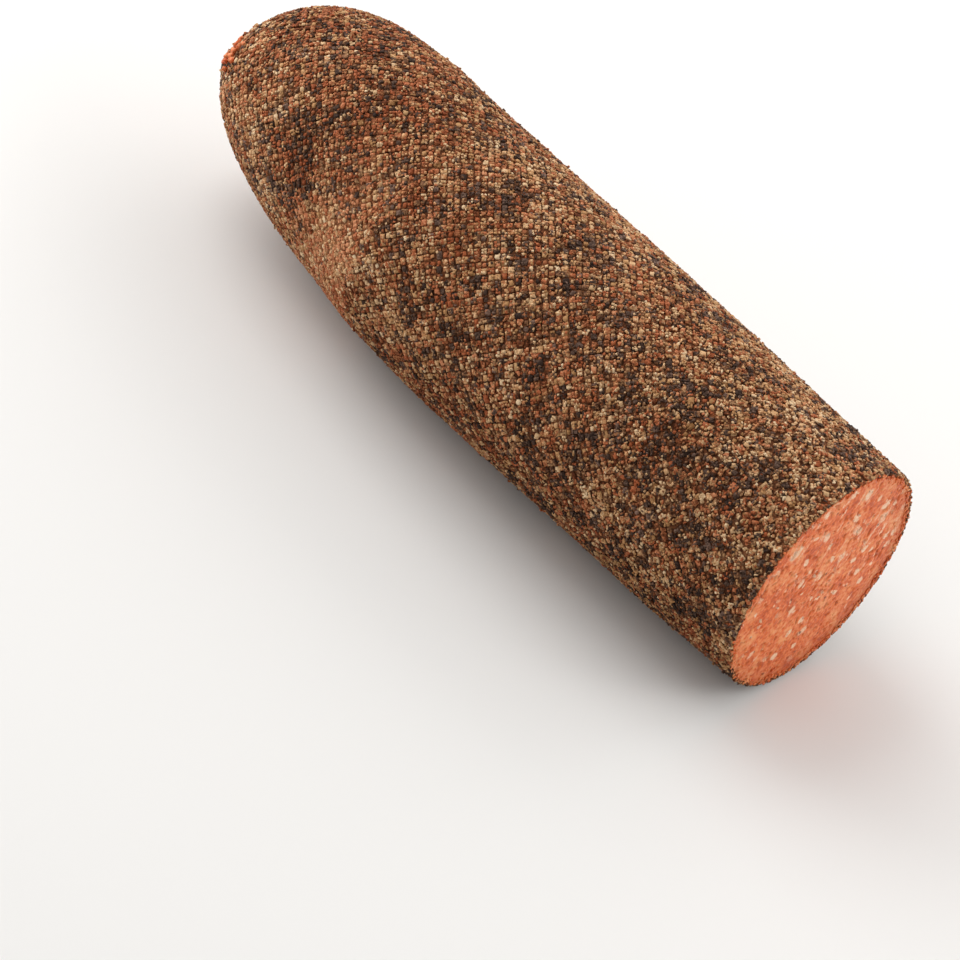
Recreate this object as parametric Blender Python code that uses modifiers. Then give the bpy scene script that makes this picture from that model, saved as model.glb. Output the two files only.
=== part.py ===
"""Peppered salami: a log of sausage meat in a thin coat of cracked pepper.

The log lies along +X on a narrow pressed flat. Its far end, at -X, is rounded and runs out in a long
lopsided taper, with a small bare patch where the casing was tied. Its near end, at +X, is cut across
almost square, so the meat and the edge of the pepper coat show. Metres, +Z up. The origin is the middle
of the log's footprint, on the surface that it lies on.
"""

import math
import random
from typing import NamedTuple

import bmesh
import bpy
from mathutils import Matrix, Vector

# The log, in metres: its calibre over the pepper, and its length from the rounded tip to the cut.
CALIBRE = 0.065
LENGTH = 0.2085
RADIUS = CALIBRE / 2

# The rounded end: how far the rounding runs back from the tip, which differs round the log. It is short
# on the side at DOME_TURN and long on the side opposite.
DOME_MEAN = 0.0737
DOME_SWING = 0.0402
DOME_TURN = math.radians(17)
DOME_FULLNESS = 0.854

# The cut end: the log narrows a little towards it, and the cut leans back on its upper rear side.
CUT_RADIUS = 0.0308
TAPER_LENGTH = 0.090
CUT_SLANT = math.radians(2.9)
CUT_LEAN = math.radians(45)

# The pepper coat, the clearance between it and the meat, and the flat that the log has settled on.
COAT = 0.0013
GAP = 0.0003
FLAT_DEPTH = 0.0007

# The bare patch at the tip, as a share of the quarter turn of the rounding, and its ragged meat.
PATCH = 0.135
PATCH_EDGE = 0.013
PATCH_CRAG = 0.0003

# The pepper grains that stand out most. They sit on the slanting net that the casing pressed into the
# coat, with NET_STEP between its crossings both along and round the log.
GRAIN_SPOTS = 230
NET_STEP = 0.00115
GRAIN_LENGTH = (0.00105, 0.00140)
GRAIN_WIDTH = (0.00080, 0.00105)
GRAIN_HEIGHT = (0.00062, 0.00078)
GRAIN_PROUD = 0.00015
GRAIN_CHIP = 0.22
GRAIN_EDGE_CLEAR = 0.0032
GRAIN_FLOOR_ANGLE = math.radians(21)
GOLDEN_TURN = math.pi * (3 - math.sqrt(5))
SEED = 41

# How finely the surfaces are divided: round the log, over the rounding, along the side and on the cut.
ROUND_STEPS = 48
DOME_RINGS = 12
SIDE_RINGS = 10
PATCH_RINGS = 3
FACE_RINGS = 5
FACE_RELIEF = 0.00022

TINY = 1e-4
DOWN = -math.pi / 2


class Lump(NamedTuple):
    """A soft swelling, or a hollow where height is negative, centred at a station and an angle."""

    station: float
    angle: float
    along: float
    around: float
    height: float


LUMPS = (
    Lump(0.040, math.radians(152), 0.011, 0.011, -0.0009),  # dimple in the rounded end
    Lump(0.073, math.radians(195), 0.010, 0.024, 0.0007),  # shoulder where the long taper starts
    Lump(0.054, math.radians(196), 0.010, 0.020, -0.0004),  # hollow above the shoulder
    Lump(0.050, math.radians(49), 0.009, 0.014, 0.0007),  # rise on the upper rear side
    Lump(0.030, math.radians(64), 0.010, 0.012, -0.0005),  # slack skin behind the tip
    Lump(0.006, math.radians(170), 0.008, 0.012, -0.0006),  # flattened side of the tip
)


def dome_length(angle: float) -> float:
    """How far back from the tip the rounding runs on this side of the log."""
    return DOME_MEAN - DOME_SWING * math.cos(angle - DOME_TURN)


def cut_station(angle: float, radius: float) -> float:
    """Where the slanting cut lies along the log, on this side and this far out."""
    return LENGTH - math.tan(CUT_SLANT) * radius * math.cos(angle - CUT_LEAN)


def side_radius(station: float) -> float:
    """Radius of the log's side, which narrows along a parabola towards the cut."""
    run = max(0.0, 1 - (LENGTH - station) / TAPER_LENGTH)
    return RADIUS - (RADIUS - CUT_RADIUS) * run**2


def lump_height(station: float, angle: float) -> float:
    """Height of the soft lumps here: each falls off as a bell curve along and round the log."""
    height = 0.0
    for lump in LUMPS:
        turn = math.remainder(angle - lump.angle, 2 * math.pi)
        along = (station - lump.station) / lump.along
        around = turn * RADIUS / lump.around
        height += lump.height * math.exp(-(along**2) - around**2)
    return height


def sway(station: float, angle: float) -> float:
    """Slow unevenness of a hand-filled casing, as three shallow waves that wind round the log."""
    wave = 0.00010 * math.sin(2 * angle + 0.6 + 57 * station)
    wave += 0.00007 * math.sin(3 * angle - 1.1 + 90 * station)
    wave += 0.00005 * math.sin(5 * angle + 2.0 - 146 * station)
    return wave


def skin(place: float, angle: float) -> Vector:
    """Point on the outside of the pepper, with the tip at x = 0 and the log's middle line on X.

    place runs from 0 at the tip to 1 where the rounding ends, and on to 2 at the cut. The rounding is a
    quarter of an ellipse, made a little blunter by DOME_FULLNESS.
    """
    dome = dome_length(angle)
    if place < 1:
        turn = place * math.pi / 2
        station = dome * (1 - math.cos(turn))
        radius = RADIUS * math.sin(turn) ** DOME_FULLNESS
        ease = math.sin(turn)
    else:
        end = cut_station(angle, CUT_RADIUS)
        station = dome + (place - 1) * (end - dome)
        radius = side_radius(station)
        ease = 1.0
    radius += ease * (lump_height(station, angle) + sway(station, angle))
    return Vector((station, radius * math.cos(angle), radius * math.sin(angle)))


def settled(point: Vector, depth: float) -> Vector:
    """The point, or the point above it on the flat under the log, this deep in."""
    point.z = max(point.z, FLAT_DEPTH + depth - RADIUS)
    return point


def outward(place: float, angle: float) -> Vector:
    """Unit normal of the skin, from the slopes along and round the log."""
    along = skin(place + TINY, angle) - skin(place - TINY, angle)
    around = skin(place, angle + TINY) - skin(place, angle - TINY)
    return around.cross(along).normalized()


def under_skin(place: float, angle: float, depth: float) -> Vector:
    """Point this deep under the skin."""
    return settled(skin(place, angle) - depth * outward(place, angle), depth)


def coat_places() -> list[float]:
    """Places of the rings from the edge of the bare patch to the cut."""
    dome = [PATCH + (1 - PATCH) * ring / DOME_RINGS for ring in range(DOME_RINGS)]
    side = [1 + ring / SIDE_RINGS for ring in range(SIDE_RINGS + 1)]
    return dome + side


def patch_point(share: float, angle: float) -> Vector:
    """Point of the ragged meat that stands through the coat at the tip."""
    place = share * (PATCH - PATCH_EDGE)
    crag = math.sin(5 * angle + 11 * share) + math.sin(8 * angle - 17 * share)
    point = skin(place, angle)
    point.x -= PATCH_CRAG * (1 + 0.5 * crag * math.sin(math.pi * min(1.0, share + 0.2)))
    return point


def face_point(share: float, angle: float) -> Vector:
    """Point of the cut face: share is 1 at its edge and 0 at its middle. The relief is a knife's drag."""
    edge = under_skin(2, angle, COAT + GAP)
    y, z = share * edge.y, share * edge.z
    lean = math.hypot(y, z) * math.cos(math.atan2(z, y) - CUT_LEAN)
    relief = math.sin(310 * z + 95 * y) * math.sin(240 * y - 60 * z)
    fade = 1 - share**4
    return Vector((LENGTH - math.tan(CUT_SLANT) * lean + FACE_RELIEF * fade * relief, y, z))


def wrapped(name: str, rings: list, collection: bpy.types.Collection) -> bpy.types.Object:
    """A sphere with its rings carried to new places, from the tip to the cut.

    rings holds one function of the angle for each ring, and its first and last entries close the ends.
    Where an end is None, the sphere stays open there.
    """
    mesh = bpy.data.meshes.new(name)
    shape = bmesh.new()
    bands = len(rings) - 1
    bmesh.ops.create_uvsphere(shape, u_segments=ROUND_STEPS, v_segments=bands, radius=1)
    half_step = math.pi / ROUND_STEPS
    open_ends = []
    for vert in shape.verts:
        ring = round((1 - math.acos(max(-1.0, min(1.0, vert.co.z))) / math.pi) * bands)
        angle = math.atan2(vert.co.y, vert.co.x) + half_step
        if rings[ring] is None:
            open_ends.append(vert)
        else:
            vert.co = rings[ring](angle)
    bmesh.ops.delete(shape, geom=open_ends, context="VERTS")
    shape.to_mesh(mesh)
    shape.free()
    obj = bpy.data.objects.new(name, mesh)
    collection.objects.link(obj)
    return obj


def make_meat(collection: bpy.types.Collection) -> bpy.types.Object:
    """The sausage meat: the tied patch at the tip, the inside of the coat and the cut face."""
    rings = [lambda angle: patch_point(0, 0)]
    for ring in range(1, PATCH_RINGS + 1):
        rings.append(lambda angle, share=ring / PATCH_RINGS: patch_point(share, angle))
    for place in [PATCH - PATCH_EDGE, *coat_places()]:
        rings.append(lambda angle, place=place: under_skin(place, angle, COAT + GAP))
    for ring in range(FACE_RINGS - 1, -1, -1):
        rings.append(lambda angle, share=ring / FACE_RINGS: face_point(share, angle))
    return wrapped("meat", rings, collection)


def make_coat(collection: bpy.types.Collection) -> bpy.types.Object:
    """The pepper coat without its largest grains: the skin, given its thickness inwards."""
    rings = [None]
    for place in coat_places():
        rings.append(lambda angle, place=place: settled(skin(place, angle), 0.0))
    rings.append(None)
    coat = wrapped("pepper_coat", rings, collection)
    wall = coat.modifiers.new("wall", "SOLIDIFY")
    wall.thickness = COAT
    wall.offset = -1
    wall.use_even_offset = True
    return coat


def net_crossing(station: float, angle: float) -> tuple[float, float]:
    """The crossing of the slanting net that is nearest to a station and an angle."""
    row = round(station / NET_STEP)
    column = round(angle * RADIUS / NET_STEP)
    if (row + column) % 2:
        column += 1
    return row * NET_STEP, column * NET_STEP / RADIUS


def place_of(station: float, angle: float) -> float:
    """The place, as skin takes it, of a station on this side of the log."""
    dome = dome_length(angle)
    if station < dome:
        return math.acos(1 - station / dome) / (math.pi / 2)
    return 1 + (station - dome) / (cut_station(angle, CUT_RADIUS) - dome)


def grain_spots(draw: random.Random) -> list[tuple[float, float]]:
    """Places and angles of the large grains, as evenly spread as seeds on a sunflower.

    Each lies a little further along the log and a golden turn round from the last. A spot is passed over
    where the log is thin, so that the rounded end isn't crowded, at the bare patch, at the cut, and where
    the log lies on its flat.
    """
    spots = []
    for number in range(GRAIN_SPOTS):
        station = LENGTH * (number + 0.5) / GRAIN_SPOTS
        station, angle = net_crossing(station, number * GOLDEN_TURN % (2 * math.pi))
        low = abs(math.remainder(angle - DOWN, 2 * math.pi)) < GRAIN_FLOOR_ANGLE
        cut_near = cut_station(angle, CUT_RADIUS) - station < GRAIN_EDGE_CLEAR
        if low or cut_near or station < GRAIN_EDGE_CLEAR:
            continue
        place = place_of(station, angle)
        girth = skin(place, angle).yz.length
        patch_girth = skin(PATCH, angle).yz.length
        if girth - patch_girth > GRAIN_EDGE_CLEAR and girth / RADIUS > draw.random():
            spots.append((place, angle))
    return spots


def make_grain(name: str, place: float, angle: float, draw: random.Random) -> bpy.types.Object:
    """A cracked peppercorn chip: a twenty-sided ball, chipped, flattened and half sunk in the coat."""
    mesh = bpy.data.meshes.new(name)
    shape = bmesh.new()
    bmesh.ops.create_icosphere(shape, subdivisions=1, radius=1)
    size = Vector((draw.uniform(*GRAIN_LENGTH), draw.uniform(*GRAIN_WIDTH), draw.uniform(*GRAIN_HEIGHT)))
    for vert in shape.verts:
        vert.co *= 1 - draw.uniform(0, GRAIN_CHIP)
        vert.co = vert.co * size
    normal = outward(place, angle)
    facing = normal.to_track_quat("Z", "X").to_matrix()
    turn = facing @ Matrix.Rotation(draw.uniform(0, 2 * math.pi), 3, "Z")
    bmesh.ops.transform(shape, matrix=turn.to_4x4(), verts=shape.verts)
    bmesh.ops.translate(shape, vec=skin(place, angle) + GRAIN_PROUD * normal, verts=shape.verts)
    shape.to_mesh(mesh)
    shape.free()
    return bpy.data.objects.new(name, mesh)


def fuse_grains(coat: bpy.types.Object, grains: bpy.types.Collection) -> None:
    """Joins the grains to the coat as one body, and removes the loose ones."""
    draw = random.Random(SEED)
    for number, (place, angle) in enumerate(grain_spots(draw)):
        grain = make_grain(f"grain_{number:03d}", place, angle, draw)
        grain.hide_render = True
        grain.display_type = "WIRE"
        grains.objects.link(grain)
    join = coat.modifiers.new("grains", "BOOLEAN")
    join.operation = "UNION"
    join.operand_type = "COLLECTION"
    join.collection = grains
    join.solver = "EXACT"
    graph = bpy.context.evaluated_depsgraph_get()
    joined = bpy.data.meshes.new_from_object(coat.evaluated_get(graph))
    coat.modifiers.clear()
    coat.data = joined
    for grain in list(grains.objects):
        bpy.data.objects.remove(grain)
    bpy.data.collections.remove(grains)


def set_on_floor(pieces: list[bpy.types.Object]) -> None:
    """Moves the log so that the origin is under the middle of it, on the surface that it lies on."""
    corners = [Vector(corner) for piece in pieces for corner in piece.bound_box]
    low = Vector([min(corner[axis] for corner in corners) for axis in range(3)])
    high = Vector([max(corner[axis] for corner in corners) for axis in range(3)])
    middle = (low + high) / 2
    for piece in pieces:
        piece.data.transform(Matrix.Translation((-middle.x, -middle.y, -low.z)))


def finish(obj: bpy.types.Object, colour: tuple[float, float, float], roughness: float) -> None:
    """Gives a piece its own plain material."""
    material = bpy.data.materials.new(obj.name)
    material.use_nodes = True
    shader = material.node_tree.nodes["Principled BSDF"]
    shader.inputs["Base Color"].default_value = (*colour, 1)
    shader.inputs["Roughness"].default_value = roughness
    shader.inputs["Metallic"].default_value = 0
    obj.data.materials.clear()
    obj.data.materials.append(material)


def main() -> None:
    """Clears the scene and makes the two pieces of the log."""
    for obj in list(bpy.data.objects):
        bpy.data.objects.remove(obj)
    log = bpy.data.collections.new("peppered_salami")
    bpy.context.scene.collection.children.link(log)
    grains = bpy.data.collections.new("loose_grains")
    grains.hide_render = True
    bpy.context.scene.collection.children.link(grains)
    meat = make_meat(log)
    coat = make_coat(log)
    fuse_grains(coat, grains)
    set_on_floor([meat, coat])
    finish(meat, (0.52, 0.13, 0.05), 0.45)
    finish(coat, (0.16, 0.08, 0.04), 0.70)


main()
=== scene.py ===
"""Looks of the peppered salami: its meat, its pepper coat grain by grain, the floor, light and camera.

The log lies along +X on its pressed flat. Its law of shape is the one that the solids follow, so each
surface here is worked out from the same driving sizes, in metres, and laid over the solid that it stands
for. The pepper grains sit on the slanting net that the casing pressed into the coat.
"""

import logging
import math
from dataclasses import dataclass
from enum import Enum

import bpy
import numpy as np
from mathutils import Matrix, Vector


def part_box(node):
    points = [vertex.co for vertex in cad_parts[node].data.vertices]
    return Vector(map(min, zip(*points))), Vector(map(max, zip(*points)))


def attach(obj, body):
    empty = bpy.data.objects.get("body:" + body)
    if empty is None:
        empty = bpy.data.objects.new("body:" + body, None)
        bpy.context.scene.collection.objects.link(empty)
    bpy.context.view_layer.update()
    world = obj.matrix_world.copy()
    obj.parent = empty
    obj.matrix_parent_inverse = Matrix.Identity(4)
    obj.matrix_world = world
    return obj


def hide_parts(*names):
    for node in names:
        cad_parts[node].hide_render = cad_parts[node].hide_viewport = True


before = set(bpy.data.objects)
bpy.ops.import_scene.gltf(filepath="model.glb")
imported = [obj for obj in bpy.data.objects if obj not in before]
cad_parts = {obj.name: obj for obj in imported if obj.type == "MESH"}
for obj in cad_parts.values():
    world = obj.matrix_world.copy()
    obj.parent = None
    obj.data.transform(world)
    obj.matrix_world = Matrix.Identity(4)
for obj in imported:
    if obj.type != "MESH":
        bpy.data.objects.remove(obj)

log = logging.getLogger("peppered_salami")
Array = np.ndarray
Draw = np.random.Generator
Span = tuple[float, float]
Sides = tuple[Array, Array, Array]
MM = 0.001
TURN = 2 * math.pi
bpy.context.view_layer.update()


def linear(code: str) -> tuple[float, float, float, float]:
    """Turns an sRGB hex colour into the linear colour that a shader takes.

    Args:
        code: A hash and six hex digits, red first.

    Returns:
        Red, green, blue and an alpha of 1.
    """
    parts = [int(code[start:start + 2], 16) / 255 for start in (1, 3, 5)]
    curve = [part / 12.92 if part <= 0.04045 else ((part + 0.055) / 1.055) ** 2.4 for part in parts]
    return curve[0], curve[1], curve[2], 1.0


def smooth_step(low: float, high: float, value: Array) -> Array:
    """Eases from 0 at low to 1 at high: 3t^2 - 2t^3 of the share of the way."""
    share = np.clip((value - low) / (high - low), 0, 1)
    return share * share * (3 - 2 * share)


def towards(side: float, angle: Array) -> Array:
    """How far angles lie towards a side of the log: 1 on it and 0 opposite."""
    return 0.5 + 0.5 * np.cos(angle - side)


def lattice_noise(points: Array, cell: float, seed: int) -> Array:
    """Smooth random values from 0 to 1 that change over one cell's width.

    Each corner of a cubic lattice gets a random value by mixing its whole-number place with large odd
    numbers, and a point blends the eight round it with an eased share along each axis.

    Args:
        points: Places, in metres, with x, y and z on the last axis.
        cell: Side of the lattice's cells, in metres.
        seed: Chooses the pattern.

    Returns:
        One value for each point.
    """
    scaled = points / cell
    corner = np.floor(scaled).astype(np.int64)
    share = scaled - corner
    share = share * share * (3 - 2 * share)
    total = np.zeros(points.shape[:-1])
    for step in np.ndindex(2, 2, 2):
        place = corner + np.array(step)
        mixed = place[..., 0] * 73856093 ^ place[..., 1] * 19349663 ^ place[..., 2] * 83492791
        mixed = (mixed + seed * 2654435761) & 0xFFFFFFFF
        mixed = ((mixed ^ (mixed >> 15)) * 2246822519) & 0xFFFFFFFF
        mixed = ((mixed ^ (mixed >> 13)) * 3266489917) & 0xFFFFFFFF
        value = (mixed ^ (mixed >> 16)) / 0xFFFFFFFF
        total += value * np.prod(np.where(np.array(step) == 1, share, 1 - share), axis=-1)
    return total


@dataclass(frozen=True)
class Noise:
    """A smooth random pattern: the width of its spots in millimetres, its seed and its layers.

    Where it has edges, its values are eased from 0 at the first to 1 at the second, which leaves spots.
    """

    spot_mm: float
    seed: int
    layers: int = 3
    edges: Span | None = None

    def at(self, points: Array) -> Array:
        """Sum of lattice noises, each half as wide and half as strong as the last.

        Args:
            points: Places, in metres.

        Returns:
            One value from 0 to 1 for each point.
        """
        total = np.zeros(points.shape[:-1])
        for layer in range(self.layers):
            total += lattice_noise(points, self.spot_mm * MM / 2**layer, self.seed + layer) / 2**layer
        total /= 2 - 2 ** (1 - self.layers)
        return smooth_step(*self.edges, total) if self.edges else total


@dataclass(frozen=True)
class Lump:
    """A soft swelling, or a hollow where height is negative, centred at a station and an angle."""

    station: float
    angle_deg: float
    along: float
    around: float
    height: float

    def share(self, station: Array, angle: Array, radius: float) -> Array:
        """Bell curve that falls from 1 at the centre, along the log and round it."""
        turn = np.angle(np.exp(1j * (angle - math.radians(self.angle_deg))))
        return np.exp(-(((station - self.station) / self.along) ** 2) - (turn * radius / self.around) ** 2)


@dataclass(frozen=True)
class LogShape:
    """The law of the log's shape, with the tip at x = 0 and the middle line on X.

    A place runs from 0 at the tip to 1 where the rounding ends, and on to 2 at the cut. An angle is
    measured about X from +Y towards +Z. Each wave is a height, how many run round the log, a phase, and
    how far it winds round in a metre.
    """

    radius: float = 0.0325
    length: float = 0.2085
    dome_mean: float = 0.0737
    dome_swing: float = 0.0402
    dome_turn: float = math.radians(17)
    dome_fullness: float = 0.854
    cut_radius: float = 0.0308
    taper_length: float = 0.090
    cut_slant: float = math.radians(2.9)
    cut_lean: float = math.radians(45)
    coat: float = 0.0013
    gap: float = 0.0003
    flat_depth: float = 0.0007
    patch: float = 0.135
    waves: tuple = ((0.00010, 2, 0.6, 57), (0.00007, 3, -1.1, 90), (0.00005, 5, 2.0, -146))
    lumps: tuple[Lump, ...] = (
        Lump(0.040, 152, 0.011, 0.011, -0.0009),  # dimple in the rounded end
        Lump(0.073, 195, 0.010, 0.024, 0.0007),  # shoulder where the long taper starts
        Lump(0.054, 196, 0.010, 0.020, -0.0004),  # hollow above the shoulder
        Lump(0.050, 49, 0.009, 0.014, 0.0007),  # rise on the upper rear side
        Lump(0.030, 64, 0.010, 0.012, -0.0005),  # slack skin behind the tip
        Lump(0.006, 170, 0.008, 0.012, -0.0006),  # flattened side of the tip
    )

    def dome_length(self, angle: Array) -> Array:
        """How far back from the tip the rounding runs on each side of the log."""
        return self.dome_mean - self.dome_swing * np.cos(angle - self.dome_turn)

    def cut_station(self, angle: Array, radius: Array | float) -> Array:
        """Where the slanting cut lies along the log at each angle, this far out."""
        return self.length - math.tan(self.cut_slant) * radius * np.cos(angle - self.cut_lean)

    def behind_cut(self, points: Array) -> Array:
        """How far each point lies behind the plane of the cut, along the log."""
        angle = np.arctan2(points[..., 2], points[..., 1])
        return self.cut_station(angle, np.hypot(points[..., 1], points[..., 2])) - points[..., 0]

    def side_radius(self, station: Array) -> Array:
        """Radius of the side, which narrows along a parabola towards the cut."""
        run = np.clip(1 - (self.length - station) / self.taper_length, 0, None)
        return self.radius - (self.radius - self.cut_radius) * run**2

    def unevenness(self, station: Array, angle: Array) -> Array:
        """The waves, each its height times a sine that winds round the log, and the lumps.

        Args:
            station: Stations along the log.
            angle: Angles round it.

        Returns:
            How far the skin stands out of its even shape there.
        """
        height = np.zeros(np.broadcast(station, angle).shape)
        for high, count, phase, wind in self.waves:
            height += high * np.sin(count * angle + phase + wind * station)
        return height + sum(lump.height * lump.share(station, angle, self.radius) for lump in self.lumps)

    def skin(self, place: Array, angle: Array) -> Array:
        """Points on the outside of the pepper.

        The rounding is a quarter of an ellipse, made blunter by a power of its radius, and the side runs
        straight on from it.

        Args:
            place: Places along the log.
            angle: Angles round it.

        Returns:
            Points, with x, y and z on the last axis.
        """
        place, angle = np.broadcast_arrays(place, angle)
        dome = self.dome_length(angle)
        turn = np.clip(place, 0, 1) * math.pi / 2
        end = self.cut_station(angle, self.cut_radius)
        station = dome * (1 - np.cos(turn)) + np.clip(place - 1, 0, None) * (end - dome)
        rounded = self.radius * np.sin(turn) ** self.dome_fullness
        radius = np.where(place < 1, rounded, self.side_radius(station))
        radius = radius + np.sin(turn) * self.unevenness(station, angle)
        return np.stack([station, radius * np.cos(angle), radius * np.sin(angle)], -1)

    def slopes(self, place: Array, angle: Array) -> Sides:
        """Works out the skin's own directions from small steps over it.

        The two steps give the normal as their cross product. The step round the log slants where the
        rounding ends at another station on each side, so the direction round is squared up to the other two.

        Args:
            place: Places along the log.
            angle: Angles round it.

        Returns:
            Unit vectors along the log, round it and out of it, each square to the others.
        """
        step = 1e-4
        along = self.skin(place + step, angle) - self.skin(place - step, angle)
        slant = self.skin(place, angle + step) - self.skin(place, angle - step)
        along /= np.linalg.norm(along, axis=-1, keepdims=True)
        out = np.cross(slant, along)
        out /= np.linalg.norm(out, axis=-1, keepdims=True)
        return along, np.cross(along, out), out

    def settled(self, points: Array, depth: Array | float) -> Array:
        """The points, with those below the flat under the log lifted onto it."""
        height = np.maximum(points[..., 2], self.flat_depth + depth - self.radius)
        return np.stack([points[..., 0], points[..., 1], height], -1)

    def under_skin(self, place: Array, angle: Array, depth: Array | float) -> Array:
        """Points this deep under the skin, along its normal."""
        depths = np.broadcast_to(depth, np.broadcast(place, angle).shape)[..., None]
        return self.settled(self.skin(place, angle) - depths * self.slopes(place, angle)[2], depth)


SOLID = LogShape()
FINE_LUMPS = (
    Lump(0.076, 178, 0.007, 0.020, 0.0005),  # crest of the shoulder
    Lump(0.081, 146, 0.006, 0.011, 0.0005),  # its end, higher up the side
    Lump(0.092, 175, 0.014, 0.022, 0.0003),  # slow fall behind it
    Lump(0.061, 182, 0.008, 0.018, -0.0006),  # hollow in front of it
    Lump(0.070, 148, 0.007, 0.011, -0.0005),  # end of that hollow
    Lump(0.044, 154, 0.008, 0.011, -0.0006),  # bottom of the dimple
    Lump(0.053, 126, 0.006, 0.006, -0.0005),  # pinch beside the dimple
    Lump(0.034, 76, 0.006, 0.007, -0.0005),  # pinch on the top of the rounded end
)
SHAPE = LogShape(lumps=SOLID.lumps + FINE_LUMPS)


# Wear and rust, and also painted light and painted shade, at set places of the coat.
@dataclass(frozen=True)
class WearLightAndShade:
    """Places where the coat looks otherwise than the rest of it, each strongest at its own height."""

    # Painted shade: the coat is darker in these hollows, where dark pepper also gathers.
    hollows: tuple[Lump, ...] = (
        Lump(0.041, 146, 0.007, 0.008, 1.0),  # dimple in the rounded end
        Lump(0.046, 163, 0.007, 0.007, 0.9),  # its lower half
        Lump(0.053, 126, 0.006, 0.006, 0.9),  # pinch beside it
        Lump(0.034, 76, 0.006, 0.007, 0.7),  # pinch on top
    )
    # Painted light: the coat is paler along these lit edges of the tip and the rounded end.
    rim_lit_end: tuple[Lump, ...] = (
        Lump(0.020, 168, 0.016, 0.018, 1.0),  # side of the tip
        Lump(0.044, 205, 0.020, 0.014, 0.8),  # lower side of the rounded end
    )
    # Painted light: paler coat on the lit top near the cut, which also has more rusty grains.
    lit_rusty_top: tuple[Lump, ...] = (
        Lump(0.190, 84, 0.018, 0.014, 0.8),  # top, near the cut
    )
    rusty: tuple[Lump, ...] = (
        Lump(0.042, 78, 0.020, 0.014, 1.0),  # top of the rounded end
        Lump(0.056, 112, 0.012, 0.014, 0.9),  # above the dimple
        Lump(0.018, 70, 0.016, 0.022, 1.0),  # top of the tip
    )
    rub_start: Span = (0.044, 0.060)
    rub_end: Span = (0.073, 0.079)
    rub_angle: float = math.radians(188)
    rub_width: float = 0.030

    def near_any(self, spots: tuple[Lump, ...], points: Array) -> Array:
        """How much of the given spots points have: the sum of their bell curves, at most 1.

        Args:
            spots: Some of the places above.
            points: Points on the skin.

        Returns:
            One value from 0 to 1 for each point.
        """
        angle = np.arctan2(points[..., 2], points[..., 1])
        parts = [spot.height * spot.share(points[..., 0], angle, SHAPE.radius) for spot in spots]
        return np.clip(sum(parts), 0, 1)

    def rubbed(self, points: Array) -> Array:
        """How far the coat is rubbed smooth: much on the slope in front of the shoulder.

        Args:
            points: Points on the skin.

        Returns:
            One value from 0 to 1 for each point: a bell curve round the log, eased in and out along it.
        """
        station = points[..., 0]
        turn = np.angle(np.exp(1j * (np.arctan2(points[..., 2], points[..., 1]) - self.rub_angle)))
        round_it = np.exp(-(turn * SHAPE.radius / self.rub_width) ** 2)
        return round_it * smooth_step(*self.rub_start, station) * (1 - smooth_step(*self.rub_end, station))


WEAR_LIGHT_AND_SHADE = WearLightAndShade()


def law_to_row() -> Array:
    """How far the law's frame lies from the part's own, read off the meat's solid.

    The solid's cut end gives x, and the middle of its width gives y. The pressed flat lies at z = 0.

    Returns:
        The shift, as x, y and z.
    """
    low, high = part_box("meat")
    inner = SOLID.coat + SOLID.gap
    end = SOLID.length + math.tan(SOLID.cut_slant) * (SOLID.cut_radius - inner)
    place, angle = np.meshgrid(np.linspace(0.2, 2, 80), np.linspace(0, TURN, 181))
    side = SOLID.under_skin(place, angle, inner)[..., 1]
    across = (low[1] + high[1] - side.min() - side.max()) / 2
    return np.array([high[0] - end, across, SOLID.radius - SOLID.flat_depth])


ROW = law_to_row()


def mesh_piece(
    name: str, points: Array, faces: list[Array], values: dict[str, Array], finish: bpy.types.Material
) -> bpy.types.Object:
    """Makes an object of the part, shaded as curved.

    Args:
        name: Name of the piece.
        points: Corners in the law's frame, one row each.
        faces: Arrays of corner numbers, one row for each face. Each array has faces of one kind.
        values: Numbers that the material reads, one for each corner, by name.
        finish: Its material.

    Returns:
        The object, at the origin, with its place in its mesh.
    """
    sides = np.concatenate([np.full(len(part), part.shape[1]) for part in faces])
    corners = np.concatenate([part.ravel() for part in faces])
    mesh = bpy.data.meshes.new(name)
    mesh.vertices.add(len(points))
    mesh.vertices.foreach_set("co", (points + ROW).astype(np.float32).ravel())
    mesh.loops.add(len(corners))
    mesh.loops.foreach_set("vertex_index", corners.astype(np.int32))
    mesh.polygons.add(len(sides))
    mesh.polygons.foreach_set("loop_start", (np.cumsum(sides) - sides).astype(np.int32))
    mesh.polygons.foreach_set("use_smooth", np.ones(len(sides), bool))
    mesh.update(calc_edges=True)
    for key, numbers in values.items():
        attribute = mesh.attributes.new(key, "FLOAT", "POINT")
        attribute.data.foreach_set("value", numbers.astype(np.float32).ravel())
    mesh.materials.append(finish)
    piece = bpy.data.objects.new(name, mesh)
    bpy.context.scene.collection.objects.link(piece)
    return piece


def ring_faces(rings: int, steps: int, closed: bool = False) -> Array:
    """Faces between rings of points, each joined to the next.

    Args:
        rings: Number of rings.
        steps: Number of points in each.
        closed: Whether the last ring is joined to the first.

    Returns:
        Four corner numbers for each face.
    """
    ring, step = np.meshgrid(np.arange(rings if closed else rings - 1), np.arange(steps), indexing="ij")
    after, beyond = (step + 1) % steps, (ring + 1) % rings
    corners = [beyond * steps + step, beyond * steps + after, ring * steps + after, ring * steps + step]
    return np.stack(corners, -1).reshape(-1, 4)


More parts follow.
